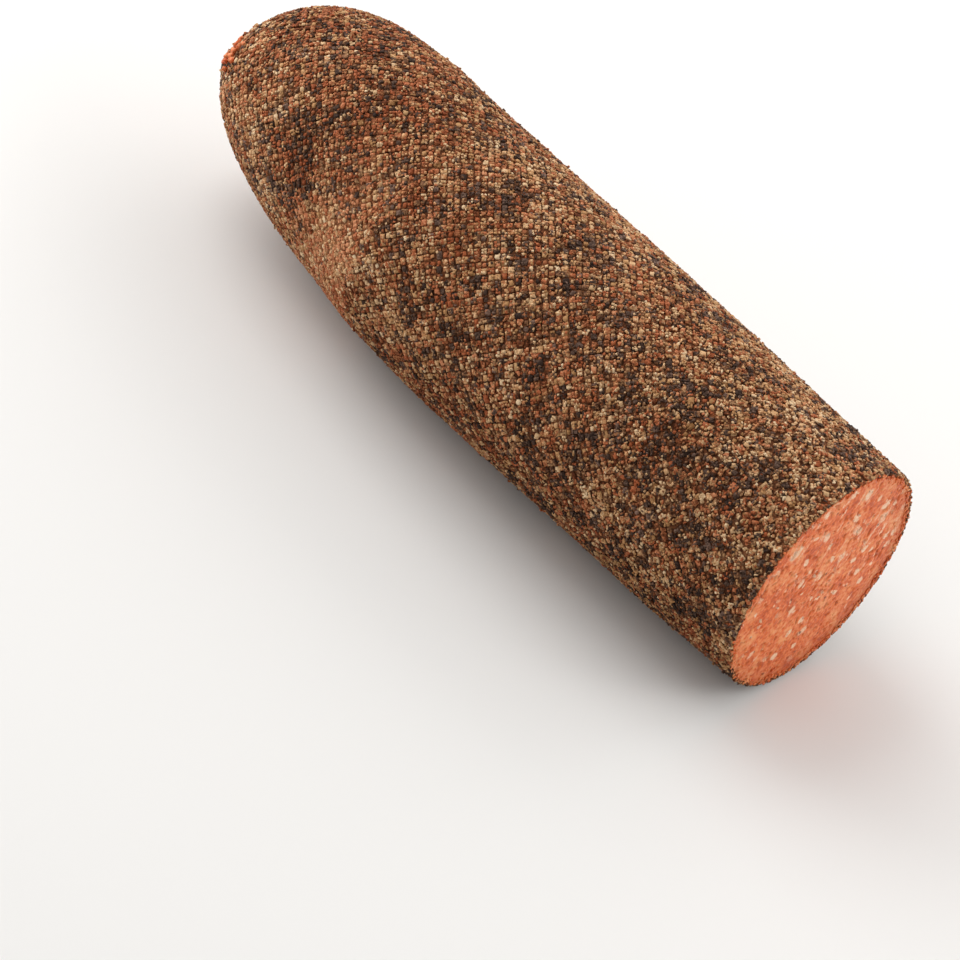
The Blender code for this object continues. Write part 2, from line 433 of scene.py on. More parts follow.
def add_node(
    tree: bpy.types.NodeTree, kind: str, links: dict, stops: tuple = (), **settings: object
) -> bpy.types.Node:
    """Adds a shader node.

    Args:
        tree: Node tree that gets it.
        kind: Blender's name for the node.
        links: Input name or number to the output socket that feeds it, or to a plain value.
        stops: Places and sRGB hex codes of a colour ramp's stops.
        settings: Attributes of the node.

    Returns:
        The node.
    """
    node = tree.nodes.new(kind)
    for key, value in settings.items():
        setattr(node, key, value)
    for key, source in links.items():
        if isinstance(source, bpy.types.NodeSocket):
            tree.links.new(source, node.inputs[key])
        else:
            node.inputs[key].default_value = source
    for number, (position, code) in enumerate(stops):
        elements = node.color_ramp.elements
        element = elements[number] if number < 2 else elements.new(position)
        element.position = position
        element.color = linear(code)
    return node


def start_material(
    name: str, roughness: float, specular: float
) -> tuple[bpy.types.Material, bpy.types.Node]:
    """Starts a material with plain numbers on its shader's own sockets.

    Args:
        name: Name of the material.
        roughness: How dull it is, from 0 to 1.
        specular: Strength of its gloss, 0.5 for most things.

    Returns:
        The material and its Principled shader.
    """
    material = bpy.data.materials.new(name)
    material.use_nodes = True
    shader = material.node_tree.nodes["Principled BSDF"]
    shader.inputs["Roughness"].default_value = roughness
    shader.inputs["Specular IOR Level"].default_value = specular
    return material, shader


@dataclass(frozen=True)
class MeatFinish:
    """Finely minced cured pork and beef, cut with a knife.

    The cut is moist and a little waxy, so it has a broad soft sheen, and light sinks a short way into it.
    The mince shows as grains of lean from brick to coral, with paler fat pressed in between, and broad
    patches of the lean are a little darker or paler. Fat starts and is full at the two ends of its span.
    """

    lean: tuple = ((0.18, "#BE4C1E"), (0.47, "#E67036"), (0.76, "#F4A068"))
    fat: tuple = ((0.35, "#EFAE84"), (0.65, "#F8D8B8"))
    # colour of pits and specks, also used for the painted shade at the cut's low rim and in its hollows
    pit: str = "#74280F"
    mince_mm: float = 0.95
    fibre_mm: float = 0.33
    patch_mm: float = 6.0
    patch_weight: float = 0.8
    fray: float = 0.7
    fat_span: Span = (0.66, 1.12)
    roughness: float = 0.5
    specular: float = 0.3
    bump: float = 0.4
    bump_mm: float = 0.25
    sunk_light: float = 0.12
    sunk_reach: tuple[float, float, float] = (1.0, 0.35, 0.18)
    sunk_mm: float = 1.2

    def build(self) -> bpy.types.Material:
        """Makes the material, which mixes lean, fat and pits by the mesh's own fat and pit values.
        The fat value also carries painted light on the cut's high side, and the pit value painted shade.

        Returns:
            The material.
        """
        material, shader = start_material("minced cured meat", self.roughness, self.specular)
        tree = material.node_tree
        place = add_node(tree, "ShaderNodeTexCoord", {}).outputs["Object"]
        sizes = ((self.mince_mm, 3.0), (self.fibre_mm, 3.0), (self.patch_mm, 1.0))
        inputs = [{"Vector": place, "Scale": 1 / (size * MM), "Detail": detail} for size, detail in sizes]
        mince, fibre, patch = (add_node(tree, "ShaderNodeTexNoise", each).outputs[0] for each in inputs)
        inputs = {0: patch, 1: self.patch_weight, 2: mince}
        drift = add_node(tree, "ShaderNodeMath", inputs, operation="MULTIPLY_ADD").outputs[0]
        inputs = {0: drift, 1: self.patch_weight / 2}
        shade = add_node(tree, "ShaderNodeMath", inputs, operation="SUBTRACT").outputs[0]
        lean = add_node(tree, "ShaderNodeValToRGB", {"Fac": shade}, self.lean).outputs["Color"]
        fat = add_node(tree, "ShaderNodeValToRGB", {"Fac": fibre}, self.fat).outputs["Color"]
        fat_value = add_node(tree, "ShaderNodeAttribute", {}, attribute_name="fat").outputs["Fac"]
        inputs = {0: fibre, 1: self.fray, 2: fat_value}
        ragged = add_node(tree, "ShaderNodeMath", inputs, operation="MULTIPLY_ADD").outputs[0]
        inputs = {"Value": ragged, "From Min": self.fat_span[0], "From Max": self.fat_span[1]}
        share = add_node(tree, "ShaderNodeMapRange", inputs, interpolation_type="SMOOTHSTEP").outputs[0]
        mixed = add_node(tree, "ShaderNodeMix", {0: share, 6: lean, 7: fat}, data_type="RGBA").outputs[2]
        pit_value = add_node(tree, "ShaderNodeAttribute", {}, attribute_name="pit").outputs["Fac"]
        inputs = {0: pit_value, 6: mixed, 7: linear(self.pit)}
        colour = add_node(tree, "ShaderNodeMix", inputs, data_type="RGBA").outputs[2]
        tree.links.new(colour, shader.inputs["Base Color"])
        inputs = {"Height": fibre, "Strength": self.bump, "Distance": self.bump_mm * MM}
        bump = add_node(tree, "ShaderNodeBump", inputs)
        tree.links.new(bump.outputs["Normal"], shader.inputs["Normal"])
        shader.inputs["Subsurface Weight"].default_value = self.sunk_light
        shader.inputs["Subsurface Radius"].default_value = self.sunk_reach
        shader.inputs["Subsurface Scale"].default_value = self.sunk_mm * MM
        return material


@dataclass(frozen=True)
class GrainFinish:
    """One kind of pepper in the coat: its name and its colours from the darkest bit to the palest.

    Cracked pepper is dry and matt, with a faint waxy gleam on the hard husk. A clump of ground pepper is
    made of crumbs of many colours, so its crumbs differ more than those of one cracked corn do.
    """

    title: str
    tones: tuple
    roughness: float
    crumb_mm: float
    crumb_spread: float
    specular: float = 0.08
    mottle: float = 0.5
    bump: float = 0.3
    bump_mm: float = 0.12

    def build(self) -> bpy.types.Material:
        """Makes the material.

        A cell pattern splits the surface in crumbs of a random value each. The colour comes from the
        grain's own tone value, plus that crumb's value times the spread and a noise half as wide times the
        mottle, less half of both.

        Returns:
            The material.
        """
        material, shader = start_material(self.title, self.roughness, self.specular)
        tree = material.node_tree
        place = add_node(tree, "ShaderNodeTexCoord", {}).outputs["Object"]
        scale = 1 / (self.crumb_mm * MM)
        noise = add_node(tree, "ShaderNodeTexNoise", {"Vector": place, "Scale": 2 * scale, "Detail": 2.0})
        crumbs = add_node(tree, "ShaderNodeTexVoronoi", {"Vector": place, "Scale": scale})
        tone = add_node(tree, "ShaderNodeAttribute", {}, attribute_name="tone").outputs["Fac"]
        inputs = {0: crumbs.outputs["Color"], 1: self.crumb_spread, 2: tone}
        crumbed = add_node(tree, "ShaderNodeMath", inputs, operation="MULTIPLY_ADD").outputs[0]
        inputs = {0: noise.outputs[0], 1: self.mottle, 2: crumbed}
        mottled = add_node(tree, "ShaderNodeMath", inputs, operation="MULTIPLY_ADD").outputs[0]
        inputs = {0: mottled, 1: self.mottle / 2 + self.crumb_spread / 2}
        value = add_node(tree, "ShaderNodeMath", inputs, operation="SUBTRACT").outputs[0]
        colour = add_node(tree, "ShaderNodeValToRGB", {"Fac": value}, self.tones).outputs["Color"]
        tree.links.new(colour, shader.inputs["Base Color"])
        inputs = {"Height": crumbs.outputs["Distance"], "Strength": self.bump, "Distance": self.bump_mm * MM}
        bump = add_node(tree, "ShaderNodeBump", inputs, invert=True)
        tree.links.new(bump.outputs["Normal"], shader.inputs["Normal"])
        return material


class Pepper(Enum):
    """The kinds of bit in the coat, by the part of the peppercorn or spice that shows."""

    CREAM = GrainFinish(
        "white pepper kernel", ((0.0, "#B68E62"), (0.5, "#D9B388"), (1.0, "#EACEA8")), 0.5, 0.6, 0.3)
    TAN = GrainFinish(
        "cracked pepper kernel", ((0.0, "#92663E"), (0.5, "#BF8F60"), (1.0, "#DFB68A")), 0.55, 0.6, 0.35)
    RUSSET = GrainFinish(
        "red pepper flake", ((0.0, "#7C3E21"), (0.5, "#AE603B"), (1.0, "#D29269")), 0.5, 0.6, 0.5)
    RUSTY = GrainFinish(
        "ground red pepper clump",
        ((0.0, "#582D18"), (0.3, "#884D2E"), (0.55, "#AC6C48"), (0.8, "#CA9262"), (1.0, "#E0B488")),
        0.65, 0.5, 0.8)
    EARTHY = GrainFinish(
        "ground black pepper clump",
        ((0.0, "#42291C"), (0.3, "#67442E"), (0.55, "#926748"), (0.8, "#B58B62"), (1.0, "#D6B086")),
        0.65, 0.5, 0.8)
    BLACK = GrainFinish(
        "black pepper husk", ((0.0, "#30221C"), (0.5, "#4E3A2F"), (1.0, "#86695A")), 0.6, 0.4, 0.6)


class Cause(Enum):
    """What makes a kind of pepper commoner or rarer at a place."""

    DARK = "a dark clump or a hollow"
    LIGHT = "away from those"
    RUST = "a rusty patch"
    PALE = "a pale cluster"
    NEAR = "near the cut"
    RUBBED = "rubbed smooth"


# A kind's share is multiplied by a base and a gain times the cause, for each cause that it has here.
LEANINGS = {
    Pepper.CREAM: {
        Cause.LIGHT: (0.3, 0.7), Cause.NEAR: (1, 0.4), Cause.RUBBED: (1, -0.3), Cause.PALE: (0.7, 1.3)},
    Pepper.TAN: {
        Cause.LIGHT: (0.4, 0.6), Cause.NEAR: (1, 0.3), Cause.RUBBED: (1, 0.2), Cause.PALE: (0.7, 1.1)},
    Pepper.RUSSET: {Cause.RUST: (1, 0.9), Cause.NEAR: (1, -0.2), Cause.RUBBED: (1, 2.5)},
    Pepper.RUSTY: {Cause.RUST: (1, 0.6), Cause.NEAR: (1, -0.1), Cause.LIGHT: (0.6, 0.4)},
    Pepper.EARTHY: {Cause.DARK: (1, 0.6), Cause.NEAR: (1, 0.1), Cause.RUBBED: (1, -0.5)},
    Pepper.BLACK: {Cause.DARK: (0.9, 2.6), Cause.RUBBED: (1, -0.9)},
}


CRUST_FINISH = GrainFinish(
    "ground pepper crust",
    ((0.0, "#3A2015"), (0.35, "#5E3722"), (0.6, "#7E4E32"), (0.85, "#A6724C"), (1.0, "#C8966A")),
    0.8, 0.42, 0.7)


@dataclass(frozen=True)
class FloorFinish:
    """Plain matt pale paint, with hardly any gloss."""

    colour: str = "#EFEDEA"

    def build(self) -> bpy.types.Material:
        """Makes the material.

        Returns:
            The material.
        """
        material, shader = start_material("pale matt paint", 0.9, 0.2)
        shader.inputs["Base Color"].default_value = linear(self.colour)
        return material


@dataclass(frozen=True)
class GrainMould:
    """Shape of a grain before it is chipped: corners as shares of its half sizes, and faces.

    Chipping is the largest share of its size that a corner is moved by.
    """

    corners: Array
    faces: Array
    chipping: float


def stacked_mould(low: Array, high: Array, top: float, chipping: float) -> GrainMould:
    """A mould of two rings of corners between a lower and an upper pole.

    Args:
        low: Corners of the lower ring.
        high: As many corners of the upper ring.
        top: Height of the upper pole. The lower one is at -1.
        chipping: Share of its size that a corner is moved by.

    Returns:
        The mould, with a fan of triangles under and over the rings and two triangles for each side.
    """
    count = len(low)
    step = np.arange(count)
    after = (step + 1) % count
    corners = np.concatenate([low, high, [[0, 0, -1], [0, 0, top]]])
    under = np.stack([after, step, np.full(count, 2 * count)], -1)
    side = [np.stack([step, after, after + count], -1), np.stack([step, after + count, step + count], -1)]
    over = np.stack([step + count, after + count, np.full(count, 2 * count + 1)], -1)
    return GrainMould(corners, np.concatenate([under, *side, over]), chipping)


def cushion_mould() -> GrainMould:
    """A squarish cushion with slanting sides, as the casing's net presses the pepper.

    Every other one of a ring's eight corners lies on a diagonal and further out, which squares it up.

    Returns:
        The mould.
    """
    step = np.arange(8)
    reach = np.where(step % 2 == 0, 1, 1.2)
    ring = np.stack([reach * np.cos(step * math.pi / 4), reach * np.sin(step * math.pi / 4)], -1)
    low = np.column_stack([ring, np.full(8, -0.1)])
    high = np.column_stack([0.84 * ring, np.full(8, 0.62)])
    return stacked_mould(low, high, 1, 0.24)


def clump_mould() -> GrainMould:
    """A low squarish heap that chips are pressed into, with a foot and a top of four corners.

    Returns:
        The mould.
    """
    square = np.array([(1, 1), (-1, 1), (-1, -1), (1, -1)])
    foot = np.column_stack([0.95 * square, np.full(4, -0.4)])
    top = np.column_stack([0.78 * square, np.full(4, 0.55)])
    return stacked_mould(foot, top, 0.85, 0.22)


def chip_mould() -> GrainMould:
    """A chip of eight corners and twelve faces, like a rough brick.

    Returns:
        The mould.
    """
    corners = np.array([(x, y, z) for z in (-1, 1) for x, y in ((-1, -1), (1, -1), (1, 1), (-1, 1))]) * 0.8
    sides = [(3, 2, 1, 0), (4, 5, 6, 7), (0, 1, 5, 4), (1, 2, 6, 5), (2, 3, 7, 6), (3, 0, 4, 7)]
    faces = [(a, b, c) for a, b, c, _ in sides] + [(a, c, d) for a, _, c, d in sides]
    return GrainMould(corners, np.array(faces), 0.3)


CUSHION, CLUMP, CHIP = cushion_mould(), clump_mould(), chip_mould()
CHIPPED = (-1, 0.6)  # shares of its chipping that a corner is moved by, inwards and outwards
CUT_PLAY = 0.08 * MM  # how far grains may stand out of the plane of the cut
TONE_SPREAD = 0.05  # how far the tones of one grain's corners differ


@dataclass
class GrainBatch:
    """A number of grains from one mould: where each lies, its axes, half sizes, kind and tone."""

    mould: GrainMould
    centre: Array
    axes: Array
    size: Array
    kind: Array
    tone: Array

    def chosen(self, keep: Array) -> "GrainBatch":
        """The grains that keep picks out."""
        arrays = (self.centre, self.axes, self.size, self.kind, self.tone)
        return GrainBatch(self.mould, *(array[keep] for array in arrays))

    def shaped(self, draw: Draw) -> tuple[Array, Array, Array]:
        """Works out every corner of the grains.

        Each corner of the mould is chipped by a random share along each axis, scaled, turned and put in
        its place. It is then cut flush at the plane of the cut, and pressed flat where the log rests.

        Args:
            draw: Random numbers.

        Returns:
            Corners, faces and the tone at each corner.
        """
        count, corners = len(self.centre), len(self.mould.corners)
        chips = 1 + self.mould.chipping * draw.uniform(*CHIPPED, (count, corners, 3))
        local = self.mould.corners * chips * self.size[:, None, :]
        points = np.einsum("gci,gij->gcj", local, self.axes) + self.centre[:, None, :]
        points[..., 0] -= np.maximum(0, -SHAPE.behind_cut(points) - CUT_PLAY)
        points[..., 2] = np.maximum(points[..., 2], SHAPE.flat_depth - SHAPE.radius)
        faces = self.mould.faces[None] + (np.arange(count) * corners)[:, None, None]
        tone = np.repeat(self.tone, corners) + draw.normal(0, TONE_SPREAD, count * corners)
        return points.reshape(-1, 3), faces.reshape(-1, 3), tone


def turned(sides: Sides, turn: Array, tip: Array) -> Array:
    """Axes of grains on the skin.

    Args:
        sides: Directions along the log, round it and out of it, where each grain lies.
        turn: Angles that the grains are turned about the outward direction.
        tip: Angles that they are then tipped about their own second axis.

    Returns:
        Three right-handed axes for each grain.
    """
    along, around, out = sides
    cos, sin = np.cos(turn)[:, None], np.sin(turn)[:, None]
    first, second = cos * around + sin * along, cos * along - sin * around
    cos, sin = np.cos(tip)[:, None], np.sin(tip)[:, None]
    return np.stack([cos * first + sin * out, second, cos * out - sin * first], 1)


@dataclass(frozen=True)
class Strewing:
    """How loose bits are strewn: how many, their half sizes, their lift off the skin, and their tipping.

    Sizes and lifts are the least and the most, in millimetres. The tipping is the spread of the angles.
    The grains at the rim of the cut lie as deep under the skin as their lift says.
    """

    count: int
    size_mm: Span
    lift_mm: Span
    tipping: float

    def lifts(self, count: int, draw: Draw) -> Array:
        """A random lift for each of this many bits."""
        return draw.uniform(*self.lift_mm, count)[:, None] * MM

    def sizes(self, count: int, draw: Draw) -> Array:
        """Three random half sizes for each of this many bits."""
        return draw.uniform(*self.size_mm, (count, 3)) * MM

    def axes(self, sides: Sides, draw: Draw) -> Array:
        """Axes of bits that are turned any way on the skin and tipped."""
        count = len(sides[0])
        return turned(sides, TURN * draw.random(count), draw.normal(0, self.tipping, count))


@dataclass
class Meat:
    """The sausage meat: the cut face, the body inside the coat, and the ragged patch at the tip.

    The knife smeared the cut's low side over the pepper. Its low rim is darkened as painted shade, and its
    high side is paled as painted light. A field that is a pair is the two ends of a stretch, or a base and
    what is added to it at most.
    """

    steps: int = 400
    face_rings: int = 112
    body_rings: int = 24
    patch_rings: int = 30
    patch_end: float = SHAPE.patch - 0.013
    body_end: float = 1.985
    low_side: float = math.radians(-45)
    lit_side: float = math.radians(62)
    seed: int = 11

    tip_mm: float = 0.35
    crag_noise: Noise = Noise(2.2, 31, edges=(0.38, 0.62))
    crag_grit: Noise = Noise(0.9, 37)
    grit_weight: float = 0.7
    crag_mm: Span = (0.15, 0.95)
    crag_fade: float = 6
    crag_least: float = 0.25
    drag_noise: Noise = Noise(3.2, 19, edges=(0.42, 0.72))
    drag_mm: float = 0.75
    smear_mm: float = 0.6
    lip_mm: float = 0.05
    least_cover_mm: float = 0.22
    setback_mm: Span = (0.32, 0.10)
    knife_turn: float = math.radians(62)
    knife_squeeze: float = 0.2
    mince_noise: Noise = Noise(1.6, 3)
    mince_mm: float = 0.30
    grit_noise: Noise = Noise(0.6, 5, 1)
    grit_mm: float = 0.18
    swipe_noise: Noise = Noise(0.9, 13, 1)
    swipe_mm: float = 0.10
    rim_calm: float = 0.5
    rim_power: int = 10
    bow_mm: float = 0.45
    drop_mm: float = 0.14
    drop_edge: Span = (0.86, 1.0)
    ring_gap: float = 0.7

    flecks: int = 190
    fleck_mm: Span = (0.35, 1.15)
    fleck_rarity: float = 2.5
    fleck_stretch: float = 0.8
    fleck_fat: Span = (0.35, 0.65)
    fleck_faintness: float = 1.5
    fleck_noise: Noise = Noise(0.9, 17)
    fleck_bend_mm: float = 0.5
    fleck_edge: Span = (0.45, 1.25)
    specks: int = 60
    speck_mm: Span = (0.20, 0.28)
    speck_edge: Span = (0.5, 1.2)
    speck_darkness: float = 0.85
    # painted light: the cut face is paled towards its lit high side
    painted_high_light: float = 0.22
    painted_high_light_edge: Span = (-0.3, 0.9)
    streak_noise: Noise = Noise(0.75, 91, 1, (0.60, 0.82))
    streak_fat: float = 0.42
    # painted shade: the low rim of the cut face is darkened
    painted_rim_shade_edge: Span = (0.68, 1.0)
    painted_rim_shade: float = 0.36
    hollow_noise: Noise = Noise(1.0, 23, 1, (0.68, 0.80))
    # painted shade: the sunk hollows of the cut face are darkened
    painted_hollow_shade: float = 0.35
    hollow_depth_mm: float = 0.30
    speck_depth_mm: float = 0.10
    fat_height_mm: float = 0.05
    torn_noise: Noise = Noise(1.1, 33)
    torn_pit: Span = (0.50, 0.34)
    torn_darkness: float = 0.75
    torn_fat: Span = (0.60, 0.74)
    torn_paleness: float = 0.8

    crags: Strewing = Strewing(22, (0.45, 0.95), (0.0, 0.55), 0.5)
    crag_place: Span = (0.14, 0.25)
    crag_angle: Span = (math.radians(118), math.radians(168))
    crag_fat: float = 0.15
    crag_pit: float = 0.2
    crumbs: Strewing = Strewing(520, (0.18, 0.52), (-0.12, 0.02), 0.4)
    crumb_low_share: float = 0.4
    crumb_spread: float = 0.7
    crumb_rim_share: float = 0.75
    crumb_reach: Span = (0.962, 0.01)
    crumb_scatter: float = 0.018
    crumb_flatness: float = 0.7
    crumb_fat: float = 0.3
    crumb_proud_mm: Span = (0.15, 0.25)

    def patch(self, angle: Array) -> Array:
        """The bare patch at the tip: the skin's own curve, torn into crags up to 1.8 mm proud of it.

        Args:
            angle: Angles round the log.

        Returns:
            Rings of points from the tip to the patch's edge, pushed out along the log by the noises, and
            less so towards the edge.
        """
        share = np.linspace(1 / self.patch_rings, 1, self.patch_rings)[:, None]
        points = SHAPE.skin(share * self.patch_end, angle)
        crag = self.crag_noise.at(points) + self.grit_weight * self.crag_grit.at(points)
        fade = np.clip(self.crag_fade * (1 - share), self.crag_least, 1)
        points[..., 0] -= (self.crag_mm[0] + self.crag_mm[1] * crag * fade) * MM
        return points

    def body(self, angle: Array) -> Array:
        """The side, under the coat, and a ragged lip that the knife dragged over the coat's cut edge.

        Args:
            angle: Angles round the log.

        Returns:
            Rings of points from the patch to the rim. The last two stand out over the coat: the first of
            them evenly, and the other by a noise and more towards the low side.
        """
        inner = SHAPE.coat + SHAPE.gap
        side = np.linspace(SHAPE.patch, self.body_end, self.body_rings)
        place = np.concatenate([[self.patch_end], side, [2, 2]])
        depth = np.full((len(place), len(angle)), inner)
        drag = self.drag_noise.at(SHAPE.under_skin(np.array(2.0), angle, inner))
        smear = towards(self.low_side, angle) ** 2
        depth[-2] = SHAPE.coat - self.lip_mm * MM
        depth[-1] = SHAPE.coat - (self.lip_mm + self.drag_mm * drag + self.smear_mm * smear) * MM
        depth[-1] = np.maximum(depth[-1], self.least_cover_mm * MM)
        points = SHAPE.under_skin(place[:, None], angle, depth)
        points[-2, :, 0] -= self.setback_mm[0] * MM
        points[-1, :, 0] -= self.setback_mm[1] * MM
        return points

    def along_knife(self, points: Array) -> Array:
        """Turns and squeezes points, so that a noise on them stretches along the knife's drag.

        Args:
            points: Points on the cut.

        Returns:
            The points, turned about X and then squeezed along their new second axis.
        """
        cos, sin = math.cos(self.knife_turn), math.sin(self.knife_turn)
        tilt = np.array([[1, 0, 0], [0, cos, -sin], [0, sin, cos]])
        return points @ tilt * np.array([1, self.knife_squeeze, 1])

    def relief(self, points: Array, share: Array) -> Array:
        """Height of the cut: minced grains, grit and the drag of the knife, all less at the rim.

        Args:
            points: Points on the cut.
            share: How far out each lies, 1 at the rim.

        Returns:
            A height for each, in metres.
        """
        mince = self.mince_mm * (self.mince_noise.at(points) - 0.5)
        grit = self.grit_mm * (self.grit_noise.at(points) - 0.5)
        swipe = self.swipe_mm * (self.swipe_noise.at(self.along_knife(points)) - 0.5)
        return MM * (mince + grit + swipe) * (1 - self.rim_calm * share**self.rim_power)

    def spot_middles(self, count: int, draw: Draw) -> tuple[Array, Array]:
        """Middles of spots strewn evenly over the cut face: how far out and which way is random.

        Args:
            count: Number of spots.
            draw: Random numbers.

        Returns:
            The y and the z of each.
        """
        radius = (SHAPE.cut_radius - SHAPE.coat) * np.sqrt(draw.random(count))
        turn = TURN * draw.random(count)
        return radius * np.cos(turn), radius * np.sin(turn)

    def fat_value(self, points: Array, draw: Draw) -> Array:
        """Soft uneven spots of fat over the cut face, most of them small and faint.

        Args:
            points: Points on the cut.
            draw: Random numbers.

        Returns:
            How fat each point is, from 0 to 1: the strongest of ovals that fade out, bent by a noise.
        """
        total = np.zeros(points.shape[:-1])
        middle_y, middle_z = self.spot_middles(self.flecks, draw)
        size = MM * (self.fleck_mm[0] + self.fleck_mm[1] * draw.random(self.flecks) ** self.fleck_rarity)
        stretch = 1 + self.fleck_stretch * draw.random(self.flecks)
        lean = math.pi * draw.random(self.flecks)
        strength = self.fleck_fat[0] + self.fleck_fat[1] * draw.random(self.flecks) ** self.fleck_faintness
        bend = self.fleck_bend_mm * MM * (self.fleck_noise.at(points) - 0.5)
        for number in range(self.flecks):
            across = points[..., 1] - middle_y[number] + bend
            up = points[..., 2] - middle_z[number] - bend
            cos, sin = math.cos(lean[number]), math.sin(lean[number])
            reach = np.hypot((across * cos + up * sin) / stretch[number], up * cos - across * sin)
            fade = smooth_step(*self.fleck_edge, reach / size[number])
            total = np.maximum(total, strength[number] * (1 - fade))
        return total

    def speck_value(self, points: Array, draw: Draw) -> Array:
        """Small dark specks of pepper in the cut face.

        Args:
            points: Points on the cut.
            draw: Random numbers.

        Returns:
            How dark each point is, from 0 to 1: the strongest of discs that fade out.
        """
        total = np.zeros(points.shape[:-1])
        middle_y, middle_z = self.spot_middles(self.specks, draw)
        size = MM * (self.speck_mm[0] + self.speck_mm[1] * draw.random(self.specks))
        for number in range(self.specks):
            reach = np.hypot(points[..., 1] - middle_y[number], points[..., 2] - middle_z[number])
            total = np.maximum(total, 1 - smooth_step(*self.speck_edge, reach / size[number]))
        return self.speck_darkness * total

    def face(self, rim: Array) -> Array:
        """The cut face, as rings that shrink from the rim to the middle in the plane of the cut.

        Args:
            rim: The last ring of the body.

        Returns:
            Points of the rings, with their relief, a slight bow and a drop at the rim's low side.
        """
        edge = self.ring_gap / self.face_rings
        share = np.linspace(1 - edge, edge, self.face_rings)[:, None]
        across, up = share * rim[:, 1], share * rim[:, 2]
        station = SHAPE.behind_cut(np.stack([np.zeros_like(across), across, up], -1))
        points = np.stack([station, across, up], -1)
        low = towards(self.low_side, np.arctan2(up, across))
        bow = self.bow_mm * (1 - share**2) - self.drop_mm * smooth_step(*self.drop_edge, share) * low
        points[..., 0] += self.relief(points, share) + MM * bow
        return points

    def face_values(self, points: Array, on_face: Array, draw: Draw) -> tuple[Array, Array]:
        """Works out the cut face's colour values and sinks its hollows and specks.

        Args:
            points: Points of the whole meat, which are moved a little along the log.
            on_face: 1 for those on the cut face and 0 for the rest.
            draw: Random numbers.

        Returns:
            Fat and pit values. Fat is spots and streaks, plus painted light towards the lit high side, and
            none at the low rim. Pit is the specks, plus painted shade in the hollows and at the low rim.
        """
        share = np.hypot(points[:, 1], points[:, 2]) / SHAPE.cut_radius
        turn = np.arctan2(points[:, 2], points[:, 1])
        # Painted light: more fat towards the lit high side pales the cut there.
        pale = self.painted_high_light * smooth_step(*self.painted_high_light_edge, share * np.cos(turn - self.lit_side))
        # Painted shade: the low rim is darkened with the pit colour and kept free of fat.
        rim = smooth_step(*self.painted_rim_shade_edge, share) * towards(self.low_side, turn)
        streak = self.streak_fat * self.streak_noise.at(self.along_knife(points))
        fat = on_face * (np.maximum(self.fat_value(points, draw), streak) + pale) * (1 - rim)
        speck = on_face * self.speck_value(points, draw)
        hollow = on_face * self.hollow_noise.at(points)
        sunk = self.hollow_depth_mm * hollow + self.speck_depth_mm * speck
        points[:, 0] -= MM * (sunk - self.fat_height_mm * fat)
        # Pits are the pepper specks, plus painted shade in the sunk hollows.
        pit = np.maximum(speck, self.painted_hollow_shade * hollow)
        return fat, np.maximum(pit, self.painted_rim_shade * on_face * rim)

    def build(self, finish: bpy.types.Material) -> bpy.types.Object:
        """Joins the patch, the body and the face in one closed mesh, with its values of fat and pits.

        Args:
            finish: Its material.

        Returns:
            The piece.
        """
        draw = np.random.default_rng(self.seed)
        angle = np.linspace(0, TURN, self.steps, endpoint=False)
        patch, body = self.patch(angle), self.body(angle)
        rings = np.concatenate([patch, body, self.face(body[-1])])
        tip = SHAPE.skin(np.zeros(1), np.zeros(1)) - [[self.tip_mm * MM, 0, 0]]
        points = np.concatenate([rings.reshape(-1, 3), tip, [[SHAPE.length, 0, 0]]])
        tip_corner, middle_corner = len(points) - 2, len(points) - 1
        step = np.arange(self.steps)
        after = (step + 1) % self.steps
        last = (len(rings) - 1) * self.steps
        tip_fan = np.stack([after, step, np.full(self.steps, tip_corner)], -1)
        face_fan = np.stack([last + step, last + after, np.full(self.steps, middle_corner)], -1)
        on_face = np.zeros(len(points))
        on_face[(len(patch) + len(body)) * self.steps:] = 1
        on_face[tip_corner] = 0
        fat, pit = self.face_values(points, on_face, draw)
        on_patch = np.zeros(len(points))
        on_patch[:len(patch) * self.steps] = 1
        torn = self.torn_noise.at(points)
        pit = np.maximum(pit, self.torn_darkness * on_patch * smooth_step(*self.torn_pit, torn))
        fat = np.maximum(fat, self.torn_paleness * on_patch * smooth_step(*self.torn_fat, torn))
        faces = [ring_faces(len(rings), self.steps), tip_fan, face_fan]
        return mesh_piece("meat_cut", points, faces, {"fat": fat, "pit": pit}, finish)

    def tip_crags(self, draw: Draw) -> GrainBatch:
        """Torn bits of meat that stand up round the front edge of the bare patch at the tip.

        Args:
            draw: Random numbers.

        Returns:
            The bits, whose tone is how fat they are.
        """
        count = self.crags.count
        place, angle = draw.uniform(*self.crag_place, count), draw.uniform(*self.crag_angle, count)
        sides = SHAPE.slopes(place, angle)
        centre = SHAPE.skin(place, angle) + self.crags.lifts(count, draw) * sides[2]
        axes, size = self.crags.axes(sides, draw), self.crags.sizes(count, draw)
        return GrainBatch(CHIP, centre, axes, size, np.zeros(count, int), self.crag_fat * draw.random(count))

